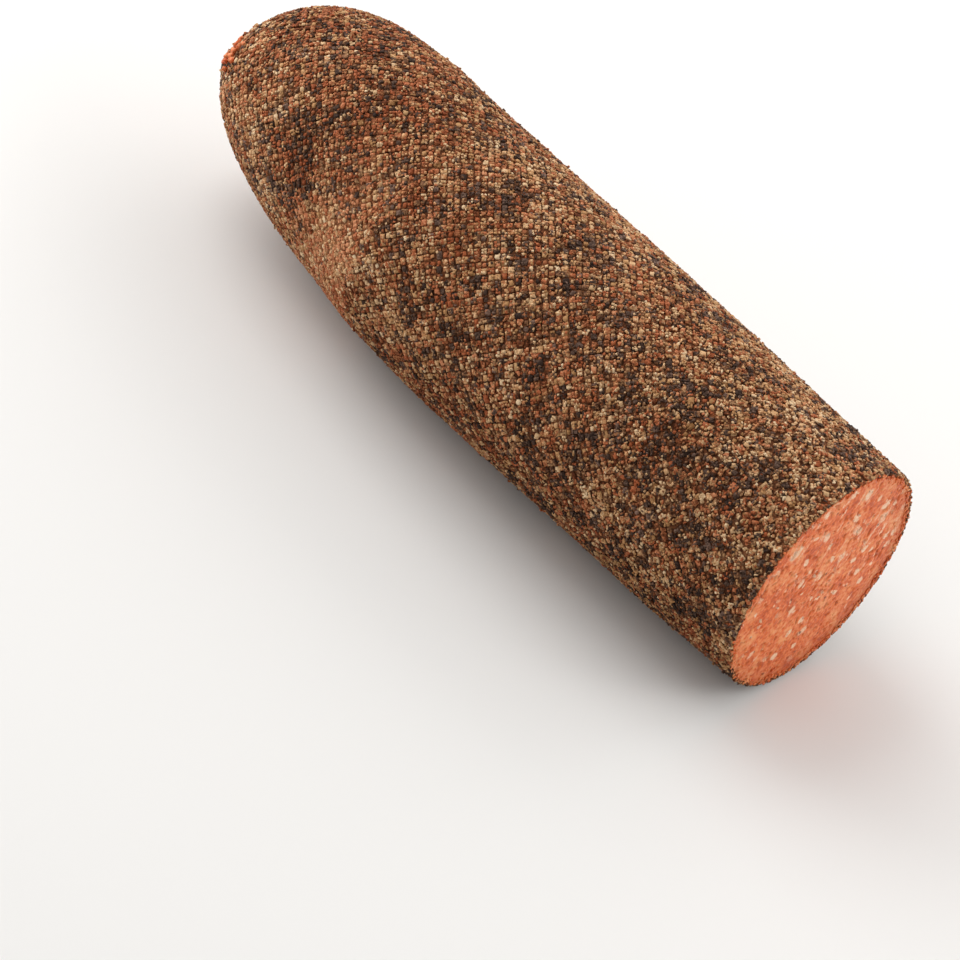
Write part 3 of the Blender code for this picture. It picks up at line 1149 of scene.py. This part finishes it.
    def rim_crumbs(self, draw: Draw) -> GrainBatch:
        """Crumbs that the knife left, most of them along the rim of the cut and more on its low side.

        Args:
            draw: Random numbers.

        Returns:
            The crumbs, whose tone is how fat they are.
        """
        count = self.crumbs.count
        low = draw.random(count) < self.crumb_low_share
        low_angle = draw.normal(self.low_side, self.crumb_spread, count)
        angle = np.where(low, low_angle, TURN * draw.random(count))
        at_rim = draw.random(count) < self.crumb_rim_share
        outward = self.crumb_reach[0] - self.crumb_reach[1] * np.cos(angle - self.low_side)
        rim = draw.normal(outward, self.crumb_scatter, count)
        share = np.where(at_rim, rim, np.sqrt(draw.random(count)))
        radius = np.clip(share, 0, 1.0) * SHAPE.cut_radius
        station = SHAPE.cut_station(angle, radius) + self.crumbs.lifts(count, draw)[:, 0]
        centre = np.stack([station, radius * np.cos(angle), radius * np.sin(angle)], -1)
        sides = tuple(np.tile(side, (count, 1)) for side in np.eye(3)[::-1])  # up, across and out of the cut
        axes, size = self.crumbs.axes(sides, draw), self.crumbs.sizes(count, draw)
        size[:, 2] *= self.crumb_flatness
        fat = self.crumb_fat * draw.random(count) ** 2
        return GrainBatch(CHIP, centre, axes, size, np.zeros(count, int), fat)

    def build_crumbs(self, finish: bpy.types.Material) -> bpy.types.Object:
        """Makes the loose bits of meat, at the cut and at the tip, as one piece.

        Args:
            finish: Its material.

        Returns:
            The piece.
        """
        draw = np.random.default_rng(self.seed + 1)
        points, faces, fat = self.rim_crumbs(draw).shaped(draw)
        least, most = (proud * MM for proud in self.crumb_proud_mm)
        points[:, 0] += np.minimum(most, np.maximum(0, SHAPE.behind_cut(points)) + least)
        tip_points, tip_faces, tip_fat = self.tip_crags(draw).shaped(draw)
        faces = np.concatenate([faces, tip_faces + len(points)])
        pit = np.concatenate([0 * fat, self.crag_pit + 0 * tip_fat])
        values = {"fat": np.concatenate([fat, tip_fat]), "pit": pit}
        return mesh_piece("meat_crumbs", np.concatenate([points, tip_points]), [faces], values, finish)


@dataclass
class Crust:
    """The bed of ground pepper that the grains sit in, from the bare patch to the cut."""

    steps: int = 360
    outer_rings: int = 210
    inner_rings: int = 12
    edge_rings: int = 5
    bed: float = 0.36 * MM
    rough_noise: Noise = Noise(1.3, 41)
    rough_mm: float = 0.25
    rub: float = 0.6
    setback_mm: float = 0.32
    edge_mm: Span = (0.30, 0.22)
    edge_middle: float = 0.4
    edge_noise: Noise = Noise(0.7, 43)
    inner_ends: Span = (1.995, 0.9)
    tone_noise: Noise = Noise(3, 47)
    tone_span: Span = (0.1, 0.7)
    rubbed_tone: float = 0.3

    def build(self, finish: bpy.types.Material) -> bpy.types.Object:
        """Makes a closed shell: the bed outside, the cut edge, the inside wall and the edge at the tip.

        Args:
            finish: Its material.

        Returns:
            The piece, whose bed is roughened by a noise and higher where the coat is rubbed.
        """
        angle = np.linspace(0, TURN, self.steps, endpoint=False)
        dome = np.linspace(SHAPE.patch, 1, self.outer_rings // 2, endpoint=False)
        place = np.concatenate([dome, np.linspace(1, 2, self.outer_rings // 2)])[:, None]
        outer = SHAPE.under_skin(place, angle, self.bed + 0 * place * angle)
        rough = self.rough_noise.at(outer) - 0.5 + self.rub * WEAR_LIGHT_AND_SHADE.rubbed(outer)
        outer = SHAPE.under_skin(place, angle, self.bed - self.rough_mm * MM * rough)
        outer[-1, :, 0] -= self.setback_mm * MM
        share = np.linspace(0, 1, self.edge_rings + 2)[1:-1, None]
        edge = SHAPE.under_skin(2 + 0 * share, angle, self.bed + share * (SHAPE.coat - self.bed) + 0 * angle)
        ragged = self.edge_noise.at(edge) - self.edge_middle
        edge[..., 0] -= (self.edge_mm[0] - self.edge_mm[1] * ragged) * MM
        side = np.linspace(self.inner_ends[0], 1, self.inner_rings)
        dome = np.linspace(self.inner_ends[1], SHAPE.patch, self.inner_rings)
        back = np.concatenate([side, dome])[:, None]
        inner = SHAPE.under_skin(back, angle, SHAPE.coat + 0 * back * angle)
        rings = np.concatenate([outer, edge, inner])
        points = rings.reshape(-1, 3)
        tone = self.tone_span[0] + self.tone_span[1] * self.tone_noise.at(points)
        tone = tone + self.rubbed_tone * WEAR_LIGHT_AND_SHADE.rubbed(points)
        faces = [ring_faces(len(rings), self.steps, closed=True)]
        return mesh_piece("pepper_crust", points, faces, {"tone": tone}, finish)


@dataclass
class Crossings:
    """What the chips on the net's grains follow: where each grain lies, and how it looks."""

    base: Array
    sides: Sides
    axes: Array
    turn: Array
    loose: Array
    near: Array
    whole: Array
    kind: Array
    tone: Array


@dataclass
class PepperCoat:
    """The grains of the coat, laid on the net that the casing pressed into it.

    The net's crossings lie a row step apart along the log and a column step round it, on every other one,
    so that its lines slant at about 45 degrees and its meshes are 1.65 mm wide. The shares are how common
    each kind of pepper is, in the order that Pepper lists them. A value whose name has near in it is what
    lying near the cut changes, and one that has loose in it is what a blurred net adds.
    """

    row_step: float = 1.19 * MM
    columns: int = 178
    front: float = math.radians(132)
    spokes: int = 361
    stations: int = 900
    passes: int = 3
    first_row: float = 0.45
    end_gap: float = 0.3 * MM
    seed: int = 5

    seat: float = 0.25 * MM
    seat_spread_mm: float = 0.07
    half_sizes: tuple[float, float, float] = (0.89 * MM, 0.79 * MM, 0.39 * MM)
    size_limits: Span = (0.28 * MM, 1.2 * MM)
    size_spread: float = 0.10
    loose_size_spread: float = 0.14
    near_narrowing: float = 0.1
    near_lowering: float = 0.3
    shake_mm: float = 0.06
    loose_shake_mm: float = 0.24
    sheared_shake_mm: float = 0.22
    twist: float = 0.06
    loose_twist: float = 0.5
    whole_twist: float = 1.5
    grain_tipping: float = 0.10
    whole_share: float = 0.26
    near_whole_loss: float = 0.4
    whole_size: Span = (0.64, 0.84)

    alike_share: float = 0.68
    near_alike: float = 0.15
    alike_tone: Span = (0.55, 0.45)
    chip_slide: float = 0.38 * MM
    corner_slide: float = 0.56 * MM
    slide_squash: float = 0.88
    chip_shake_mm: float = 0.09
    loose_chip_shake_mm: float = 0.12
    quarter_share: float = 0.84
    corner_share: float = 0.40
    chip_mm: Span = (0.26, 0.50)
    chip_flatness: float = 0.6
    corner_size: float = 0.8
    near_chip_loss: float = 0.06
    chip_stretch: float = 0.2
    near_chip_stretch: float = 0.5
    chip_lift_mm: Span = (-0.14, 0.02)
    corner_sink_mm: float = 0.14
    chip_twist: float = 0.25
    chip_tipping: float = 0.3
    clump_shares: tuple = (0.04, 0.09, 0.05, 0.43, 0.29, 0.10)
    grain_shares: tuple = (0.12, 0.25, 0.16, 0.22, 0.13, 0.12)

    blur_noise: Noise = Noise(22, 51, edges=(0.52, 0.72))
    dark_noise: Noise = Noise(4.4, 61, edges=(0.50, 0.64))
    rust_noise: Noise = Noise(12, 71, edges=(0.48, 0.66))
    pale_noise: Noise = Noise(3, 67, edges=(0.50, 0.62))
    tone_noise: Noise = Noise(8, 81)
    cut_ease: Span = (0.120, 0.190)
    tip_ease: Span = (0.006, 0.020)
    shear_ease: Span = (0.10, 0.30)
    least_blur: float = 0.10
    cut_blur: float = 0.50
    tip_blur: float = 0.7
    patch_blur: float = 0.30
    rubbed_blur: float = 0.5
    sheared_blur: float = 0.6

    kind_ease: Span = (0.10, 0.19)
    clump_dark: float = 1.1
    near_dark: float = 1.4
    hollow_dark: float = 1.3
    spot_rust: float = 0.9
    end_rust: float = 0.6
    end_ease: Span = (0.03, 0.10)
    # more rusty grains on the top near the cut, whose paler tone there is painted light
    lit_top_rust: float = 0.5

    tone_mean: float = 0.53
    tone_spread: float = 0.21
    tone_drift: float = 0.5
    rubbed_tone: float = 0.34
    # painted light: how much paler the grains are at the lit edges
    painted_light_tone: float = 0.22
    # painted shade: how much darker the grains are in the hollows
    hollow_shade_tone: float = 0.20
    rusty_tone: float = 0.14
    # painted shade: grains darken towards the underside
    underside_shade_tone: float = 0.20
    underside_shade_ease: Span = (0.0, 0.5)
    cut_tone: float = 0.03
    cut_tone_ease: Span = (0.13, 0.18)
    clump_tone: float = 0.1

    crumbs: Strewing = Strewing(8000, (0.18, 0.40), (-0.34, 0.0), 0.6)
    strays: Strewing = Strewing(420, (0.24, 0.48), (0.10, 0.40), 0.6)
    cut_crumbs: Strewing = Strewing(3400, (0.22, 0.46), (-0.16, 0.06), 0.6)
    cut_start: float = 1.45
    full_run: float = 0.13
    least_kept: float = 0.1
    rim_grains: Strewing = Strewing(420, (0.22, 0.50), (0.25, 1.05), 0.4)
    rim_back_mm: Span = (0.05, 0.45)
    rim_thinning: float = 0.55
    rim_reddening: float = 0.8
    patch_bits: Strewing = Strewing(150, (0.3, 0.9), (0.1, 0.6), 0.5)
    patch_skew: float = 0.22
    patch_reach: float = 0.90
    patch_edge_share: float = 0.8
    patch_scatter: float = 0.09
    patch_inside: float = -0.5
    patch_limits: Span = (0.3, 1.15)

    def net(self) -> tuple[Array, Array, Array]:
        """Places, angles and slants of the net's crossings.

        The net is a cloth that keeps the width of its meshes. Rows are counted back from the cut by the
        length of the skin along the log, and columns by its length round the log from the front line, so
        they run out at the seam opposite. Each column's angle depends on its place where the log narrows,
        which three passes settle.

        Returns:
            A place, an angle and how far the net is turned there, for each crossing.
        """
        spokes = np.linspace(self.front - math.pi, self.front + math.pi, self.spokes)
        place = np.linspace(2, SHAPE.patch, self.stations)
        skin = SHAPE.skin(place[:, None], spokes)
        run = np.linalg.norm(np.diff(skin, axis=0), axis=-1).cumsum(0)
        run = np.concatenate([np.zeros((1, len(spokes))), run])
        rows = np.arange(int(run.max() / self.row_step))
        length = (rows + self.first_row) * self.row_step
        table = np.stack([np.interp(length, run[:, spoke], place) for spoke in range(len(spokes))], 1)
        column = np.arange(-(self.columns // 2), self.columns // 2)
        girth = column * TURN * SHAPE.radius / self.columns
        angle = np.broadcast_to(self.front + girth / SHAPE.radius, (len(rows), len(column)))
        for _ in range(self.passes):
            at = np.stack([np.interp(angle[row], spokes, table[row]) for row in rows])
            skin = SHAPE.skin(at, angle)
            radius = np.maximum(np.hypot(skin[..., 1], skin[..., 2]), MM)
            angle = self.front + girth / radius
        left = np.stack([np.interp(angle[row], spokes, run[-1]) for row in rows]) - length[:, None]
        slant = (angle - self.front) * np.gradient(radius, self.row_step, axis=0)
        on_net = (rows[:, None] + column) % 2 == 0
        keep = on_net & (abs(angle - self.front) < math.pi) & (left > self.end_gap)
        return at[keep], angle[keep], np.arctan(slant[keep]) / 2

    def looseness(self, points: Array) -> Array:
        """How far the net is blurred: little over the body, much at the tip, the cut and where rubbed.

        Args:
            points: Points on the skin.

        Returns:
            A weighted sum of each cause for each point, at most 1.
        """
        cut = smooth_step(*self.cut_ease, points[..., 0])
        tip = 1 - smooth_step(*self.tip_ease, points[..., 0])
        blur = self.blur_noise.at(points)
        total = self.least_blur + self.cut_blur * cut + self.tip_blur * tip + self.patch_blur * blur
        return np.clip(total + self.rubbed_blur * WEAR_LIGHT_AND_SHADE.rubbed(points), 0, 1)

    def kinds(self, points: Array, shares: tuple, draw: Draw) -> Array:
        """Picks each grain's kind.

        Dark grains gather in clumps and in the dimple, and rusty ones in broad patches. Towards the cut
        there are more black and pale grains, and away from it more rust. Each kind's share is multiplied,
        for each cause that it leans on, by a base plus a gain times that cause.

        Args:
            points: Where the grains lie.
            shares: How common each kind is.
            draw: Random numbers.

        Returns:
            Numbers of the kinds.
        """
        station = points[:, 0]
        near = smooth_step(*self.kind_ease, station)
        dark = (self.clump_dark + self.near_dark * near) * self.dark_noise.at(points)
        # More dark grains in the hollows: dark pepper there, and painted shade.
        dark += self.hollow_dark * WEAR_LIGHT_AND_SHADE.near_any(WEAR_LIGHT_AND_SHADE.hollows, points)
        rust = self.rust_noise.at(points) + self.spot_rust * WEAR_LIGHT_AND_SHADE.near_any(WEAR_LIGHT_AND_SHADE.rusty, points)
        rust += self.end_rust * (1 - smooth_step(*self.end_ease, station))
        rust += self.lit_top_rust * WEAR_LIGHT_AND_SHADE.near_any(WEAR_LIGHT_AND_SHADE.lit_rusty_top, points)
        causes = {
            Cause.DARK: dark,
            Cause.LIGHT: 1 - np.clip(dark, 0, 1),
            Cause.RUST: rust,
            Cause.PALE: self.pale_noise.at(points),
            Cause.NEAR: near,
            Cause.RUBBED: WEAR_LIGHT_AND_SHADE.rubbed(points),
        }
        change = [
            math.prod(base + gain * causes[cause] for cause, (base, gain) in LEANINGS[kind].items())
            for kind in Pepper
        ]
        edges = np.cumsum(np.array(shares) * np.stack(change, -1), -1)
        pick = draw.random((len(points), 1)) * edges[:, -1:]
        return np.minimum((pick > edges).sum(-1), len(Pepper) - 1)

    def tones(self, points: Array, draw: Draw) -> Array:
        """Tone of each grain: random, with a drift that follows wear, painted light on the lit edges, and
        painted shade in the hollows and towards the underside.

        Args:
            points: Where the grains lie.
            draw: Random numbers.

        Returns:
            One value from 0, the kind's darkest, to 1, its palest, for each.
        """
        # Painted light at the lit edges.
        lit_spots = WEAR_LIGHT_AND_SHADE.near_any(WEAR_LIGHT_AND_SHADE.rim_lit_end + WEAR_LIGHT_AND_SHADE.lit_rusty_top, points)
        hollow, rusty = WEAR_LIGHT_AND_SHADE.near_any(WEAR_LIGHT_AND_SHADE.hollows, points), WEAR_LIGHT_AND_SHADE.near_any(WEAR_LIGHT_AND_SHADE.rusty, points)
        drift = self.tone_drift * (self.tone_noise.at(points) - 0.5)
        drift += self.rubbed_tone * WEAR_LIGHT_AND_SHADE.rubbed(points) + self.painted_light_tone * lit_spots
        drift -= self.hollow_shade_tone * hollow + self.rusty_tone * rusty
        # Painted shade: the tone darkens towards the underside.
        drift -= self.underside_shade_tone * smooth_step(*self.underside_shade_ease, -points[..., 2] / SHAPE.radius)
        drift -= self.cut_tone * smooth_step(*self.cut_tone_ease, points[..., 0])
        return np.clip(draw.normal(self.tone_mean, self.tone_spread, len(points)) + drift, 0, 1)

    def net_grains(self, draw: Draw) -> list[GrainBatch]:
        """Lays a grain on each crossing of the net, shaken further out of place where the net is loose.

        Args:
            draw: Random numbers.

        Returns:
            Whole grains, clumps, and the chips on both.
        """
        place, angle, slant = self.net()
        count = len(place)
        sides = SHAPE.slopes(place, angle)
        base = SHAPE.skin(place, angle)
        sheared = smooth_step(*self.shear_ease, abs(slant))
        loose = np.clip(self.looseness(base) + self.sheared_blur * sheared, 0, 1)
        near = smooth_step(*self.cut_ease, base[:, 0])
        whole = draw.random(count) < self.whole_share * (1 - self.near_whole_loss * near)
        shake = self.shake_mm + self.loose_shake_mm * loose + self.sheared_shake_mm * sheared
        shift = draw.normal(0, 1, (count, 2)) * shake[:, None] * MM
        base = base + shift[:, :1] * sides[0] + shift[:, 1:] * sides[1]
        centre = base + (draw.normal(0, self.seat_spread_mm, count) * MM - self.seat)[:, None] * sides[2]
        spread = (self.size_spread + self.loose_size_spread * loose)[:, None]
        size = np.array(self.half_sizes) * (1 + draw.normal(0, 1, (count, 3)) * spread)
        narrow = draw.uniform(*self.whole_size, count) * (1 - self.near_narrowing * near)
        size[:, :2] *= np.where(whole, narrow, 1.0)[:, None]
        size[:, 2] *= np.where(whole, 1.0, 1 - self.near_lowering * near)
        size = np.clip(size, *self.size_limits)
        twist = draw.normal(0, 1, count) * (self.twist + self.loose_twist * loose)
        twist = twist * np.where(whole, self.whole_twist, 1)
        turn = math.pi / 4 + slant + twist
        grain_kind = self.kinds(base, self.grain_shares, draw)
        kind = np.where(whole, grain_kind, self.kinds(base, self.clump_shares, draw))
        tone = self.tones(base, draw)
        axes = turned(sides, turn, draw.normal(0, self.grain_tipping, count))
        wholes = GrainBatch(CUSHION, centre, axes, size, kind, tone).chosen(whole)
        clumps = GrainBatch(CLUMP, centre, axes, size, kind, tone - self.clump_tone).chosen(~whole)
        crossings = Crossings(base, sides, axes, turn, loose, near, whole, grain_kind, tone)
        return [wholes, clumps, self.net_chips(crossings, draw)]

    def net_chips(self, grains: Crossings, draw: Draw) -> GrainBatch:
        """Chips in the quarters of each clump's top and at the corners of each whole grain.

        Near the cut they are longer, and more of them are alike to the grain that they lie on.

        Args:
            grains: The net's grains.
            draw: Random numbers.

        Returns:
            The chips.
        """
        owner = np.repeat(np.arange(len(grains.base)), 4)
        quarter = np.tile(np.arange(4), len(grains.base)) * math.pi / 2 + math.pi / 4
        shares = np.where(grains.whole[owner], self.corner_share, self.quarter_share)
        keep = draw.random(len(owner)) < shares
        owner, quarter = owner[keep], quarter[keep]
        count, whole, near = len(owner), grains.whole[owner], grains.near[owner]
        reach = math.sqrt(2) * np.where(whole, self.corner_slide, self.chip_slide)[:, None]
        slide = reach * np.stack([np.cos(quarter), self.slide_squash * np.sin(quarter)], -1)
        shake = self.chip_shake_mm + self.loose_chip_shake_mm * grains.loose[owner]
        slide += draw.normal(0, 1, (count, 2)) * shake[:, None] * MM
        lift = (draw.uniform(*self.chip_lift_mm, count) - self.corner_sink_mm * whole)[:, None] * MM
        sides = tuple(side[owner] for side in grains.sides)
        first, second = grains.axes[owner, 0], grains.axes[owner, 1]
        centre = grains.base[owner] + slide[:, :1] * first + slide[:, 1:] * second + lift * sides[2]
        turn = grains.turn[owner] + draw.integers(0, 2, count) * math.pi / 2
        turn = turn + draw.normal(0, self.chip_twist, count)
        axes = turned(sides, turn, draw.normal(0, self.chip_tipping, count))
        long = 1 + (self.chip_stretch + self.near_chip_stretch * near) * draw.random(count)
        size = draw.uniform(*self.chip_mm, (count, 3)) * np.array([1, 1, self.chip_flatness]) * MM
        size *= (np.where(whole, self.corner_size, 1.0) * (1 - self.near_chip_loss * near))[:, None]
        size[:, 0] *= long
        size[:, 1] /= np.sqrt(long)
        alike = draw.random(count) < self.alike_share + self.near_alike * near
        kind = np.where(alike, grains.kind[owner], self.kinds(centre, self.grain_shares, draw))
        shared = self.alike_tone[0] * grains.tone[owner] + self.alike_tone[1] * self.tones(centre, draw)
        return GrainBatch(CHIP, centre, axes, size, kind, np.where(alike, shared, self.tones(centre, draw)))

    def loose_bits(
        self, bits: Strewing, shares: tuple, draw: Draw, start: float = SHAPE.patch
    ) -> GrainBatch:
        """Bits strewn evenly over the skin, on no net.

        Twice as many are drawn, and each is kept by how much skin its place stands for.

        Args:
            bits: How they are strewn.
            shares: How common each kind is.
            draw: Random numbers.
            start: Place that they start from, which may be further back than the bare patch's edge.

        Returns:
            The bits, turned every way.
        """
        drawn = bits.count * 2
        place = start + (2 - start) * draw.random(drawn)
        angle = TURN * draw.random(drawn)
        base = SHAPE.skin(place, angle)
        dome = SHAPE.dome_length(angle)
        slope = dome * np.sin(np.clip(place, 0, 1) * math.pi / 2)
        stretch = np.where(place < 1, slope, SHAPE.length - dome)
        area = stretch * np.hypot(base[:, 1], base[:, 2]) / (self.full_run * SHAPE.radius)
        even = np.flatnonzero(draw.random(drawn) < np.clip(area, self.least_kept, 1))[:bits.count]
        place, angle, base = place[even], angle[even], base[even]
        sides = SHAPE.slopes(place, angle)
        centre = base + bits.lifts(len(place), draw) * sides[2]
        size = bits.sizes(len(place), draw)
        axes = bits.axes(sides, draw)
        kind = self.kinds(base, shares, draw)
        return GrainBatch(CHIP, centre, axes, size, kind, self.tones(base, draw))

    def rim(self, draw: Draw) -> GrainBatch:
        """Grains cut through at the edge of the cut, where the coat's thickness shows.

        Args:
            draw: Random numbers.

        Returns:
            The grains, shallower and reddened by the meat towards the cut's low side.
        """
        bits = self.rim_grains
        count = bits.count
        angle = TURN * (np.arange(count) + draw.random(count)) / count
        place = np.full(count, 2.0)
        sides = SHAPE.slopes(place, angle)
        low = towards(Meat.low_side, angle)
        depth = (draw.uniform(*bits.lift_mm, count) * (1 - self.rim_thinning * low))[:, None] * MM
        back = draw.uniform(*self.rim_back_mm, count)[:, None] * MM
        centre = SHAPE.skin(place, angle) - depth * sides[2] - back * sides[0]
        axes, size = bits.axes(sides, draw), bits.sizes(count, draw)
        kind = self.kinds(centre, self.clump_shares, draw)
        smeared = draw.random(count) < self.rim_reddening * low**2
        kind = np.where(smeared, list(Pepper).index(Pepper.RUSTY), kind)
        return GrainBatch(CHIP, centre, axes, size, kind, self.tones(centre, draw))

    def on_patch(self, draw: Draw) -> GrainBatch:
        """Bits of pepper on the bare patch at the tip, most of them over its edge, which they make ragged.

        Args:
            draw: Random numbers.

        Returns:
            The bits, along an edge that two waves push in and out.
        """
        bits = self.patch_bits
        count = bits.count
        angle = TURN * draw.random(count)
        edge = self.patch_reach + self.patch_skew * np.sin(2 * angle + 0.8) * np.cos(3 * angle - 0.4)
        at_edge = draw.random(count) < self.patch_edge_share
        scatter = draw.normal(0, self.patch_scatter, count)
        spread = np.where(at_edge, scatter, draw.uniform(self.patch_inside, 0, count))
        place = SHAPE.patch * np.clip(edge + spread, *self.patch_limits)
        sides = SHAPE.slopes(place, angle)
        centre = SHAPE.skin(place, angle) + bits.lifts(count, draw) * sides[2]
        axes, size = bits.axes(sides, draw), bits.sizes(count, draw)
        kind = self.kinds(centre, self.grain_shares, draw)
        return GrainBatch(CHIP, centre, axes, size, kind, self.tones(centre, draw))

    def piece(self, name: str, kind: Pepper, batches: list[GrainBatch], draw: Draw) -> tuple:
        """Joins the grains of one kind.

        Args:
            name: Name of the piece.
            kind: The kind.
            batches: Batches to take its grains from.
            draw: Random numbers.

        Returns:
            The piece's name, corners, faces and values.
        """
        number = list(Pepper).index(kind)
        points, faces, tones, total = [], [], [], 0
        for batch in batches:
            part_points, part_faces, part_tones = batch.chosen(batch.kind == number).shaped(draw)
            points.append(part_points)
            faces.append(part_faces + total)
            tones.append(part_tones)
            total += len(part_points)
        return name, np.concatenate(points), [np.concatenate(faces)], {"tone": np.concatenate(tones)}

    def build(self) -> list[bpy.types.Object]:
        """Makes two pieces for each kind: the grains pressed by the net, and the chips and loose bits.

        Returns:
            The pieces.
        """
        draw = np.random.default_rng(self.seed)
        wholes, clumps, chips = self.net_grains(draw)
        loose = [
            chips,
            self.rim(draw),
            self.on_patch(draw),
            self.loose_bits(self.crumbs, self.clump_shares, draw),
            self.loose_bits(self.strays, self.grain_shares, draw),
            self.loose_bits(self.cut_crumbs, self.grain_shares, draw, self.cut_start),
        ]
        pieces = []
        for kind in Pepper:
            finish = kind.value.build()
            for lay, batches in (("pressed", [wholes, clumps]), ("loose", loose)):
                name = f"pepper_{kind.name.lower()}_{lay}"
                pieces.append(mesh_piece(*self.piece(name, kind, batches, draw), finish))
        return pieces


@dataclass
class Studio:
    """A pale floor, soft light and the camera, which sees the log as the photograph does.

    The eye is measured from the middle of the cut, and right, up and back are the camera's own axes. Each
    lamp is a name, a place, the side of its square in metres, and a power in watts.
    """

    eye: tuple = (0.4034, -0.8006, 0.7520)
    right: tuple = (0.66796, 0.69240, 0.27278)
    up: tuple = (-0.62507, 0.32306, 0.71058)
    back: tuple = (0.40388, -0.64514, 0.64859)
    focal_pixels: float = 5000.0
    image_pixels: float = 960.0
    sensor_mm: float = 36.0
    clip: Span = (0.01, 20)
    floor_half: float = 4.0
    lamps: tuple = (
        ("left", (-1.2, -0.1, 0.4), 0.9, 8.8),
        ("over_left", (-0.8, 0.0, 1.0), 0.9, 7.0),
        ("front_left", (-0.8, -0.8, 0.6), 0.9, 2.2),
        ("rear", (0.0, 1.1, 0.6), 0.9, 4.2),
        ("rear_left", (-0.8, 0.8, 0.7), 0.9, 3.1),
        ("rear_right", (0.8, 0.8, 0.7), 0.9, 3.4),
        ("right", (1.2, 0.0, 0.4), 0.9, 1.2),
        ("near_right", (0.42, 0.10, 0.36), 0.25, 0.36),
    )
    world_strength: float = 0.32

    def camera(self) -> None:
        """Puts the camera where the photograph was taken from, relative to the middle of the cut face."""
        data = bpy.data.cameras.new("camera")
        data.sensor_width = self.sensor_mm
        data.lens = self.sensor_mm * self.focal_pixels / self.image_pixels
        data.clip_start, data.clip_end = self.clip
        camera = bpy.data.objects.new("camera", data)
        turn = Matrix((self.right, self.up, self.back)).transposed().to_4x4()
        cut = Vector((SHAPE.length, 0, 0)) + Vector(ROW)
        camera.matrix_world = Matrix.Translation(cut + Vector(self.eye)) @ turn
        bpy.context.scene.collection.objects.link(camera)
        bpy.context.scene.camera = camera

    def light(self, name: str, place: tuple, size: float, power: float) -> None:
        """Adds a square soft light that faces the log.

        Args:
            name: Name of the light.
            place: Where its middle stands.
            size: Side of the square.
            power: Its power, in watts.
        """
        data = bpy.data.lights.new(name, "AREA")
        data.size, data.energy = size, power
        lamp = bpy.data.objects.new(name, data)
        lamp.location = place
        lamp.rotation_euler = (-Vector(place)).to_track_quat("-Z", "Y").to_euler()
        bpy.context.scene.collection.objects.link(lamp)

    def floor(self) -> bpy.types.Object:
        """Makes a flat square floor at z = 0.

        Returns:
            The floor.
        """
        half = self.floor_half
        corners = [(-half, -half, 0), (half, -half, 0), (half, half, 0), (-half, half, 0)]
        mesh = bpy.data.meshes.new("floor")
        mesh.from_pydata(corners, [], [(0, 1, 2, 3)])
        mesh.materials.append(FloorFinish().build())
        floor = bpy.data.objects.new("floor", mesh)
        bpy.context.scene.collection.objects.link(floor)
        return floor

    def build(self) -> bpy.types.Object:
        """Sets up the camera, the lights and the floor.

        Returns:
            The floor.
        """
        self.camera()
        for name, place, size, power in self.lamps:
            self.light(name, place, size, power)
        world = bpy.data.worlds.new("studio")
        world.use_nodes = True
        background = world.node_tree.nodes["Background"]
        background.inputs["Color"].default_value = (1, 1, 1, 1)
        background.inputs["Strength"].default_value = self.world_strength
        bpy.context.scene.world = world
        bpy.context.scene.view_settings.view_transform = "Standard"
        return self.floor()


def main() -> None:
    """Builds the log and its studio, and logs how many faces each piece has."""
    logging.basicConfig(level=logging.INFO, format="%(message)s")
    cured = MeatFinish().build()
    meat = [Meat().build(cured), Meat().build_crumbs(cured)]
    coat = [Crust().build(CRUST_FINISH.build()), *PepperCoat().build()]
    Studio().build()
    for piece in meat:
        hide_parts("meat")
    for piece in coat:
        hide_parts("pepper_coat")
    for piece in meat + coat:
        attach(piece, "root")
        log.info("%s: %d faces", piece.name, len(piece.data.polygons))


if __name__ == "__main__":
    main()
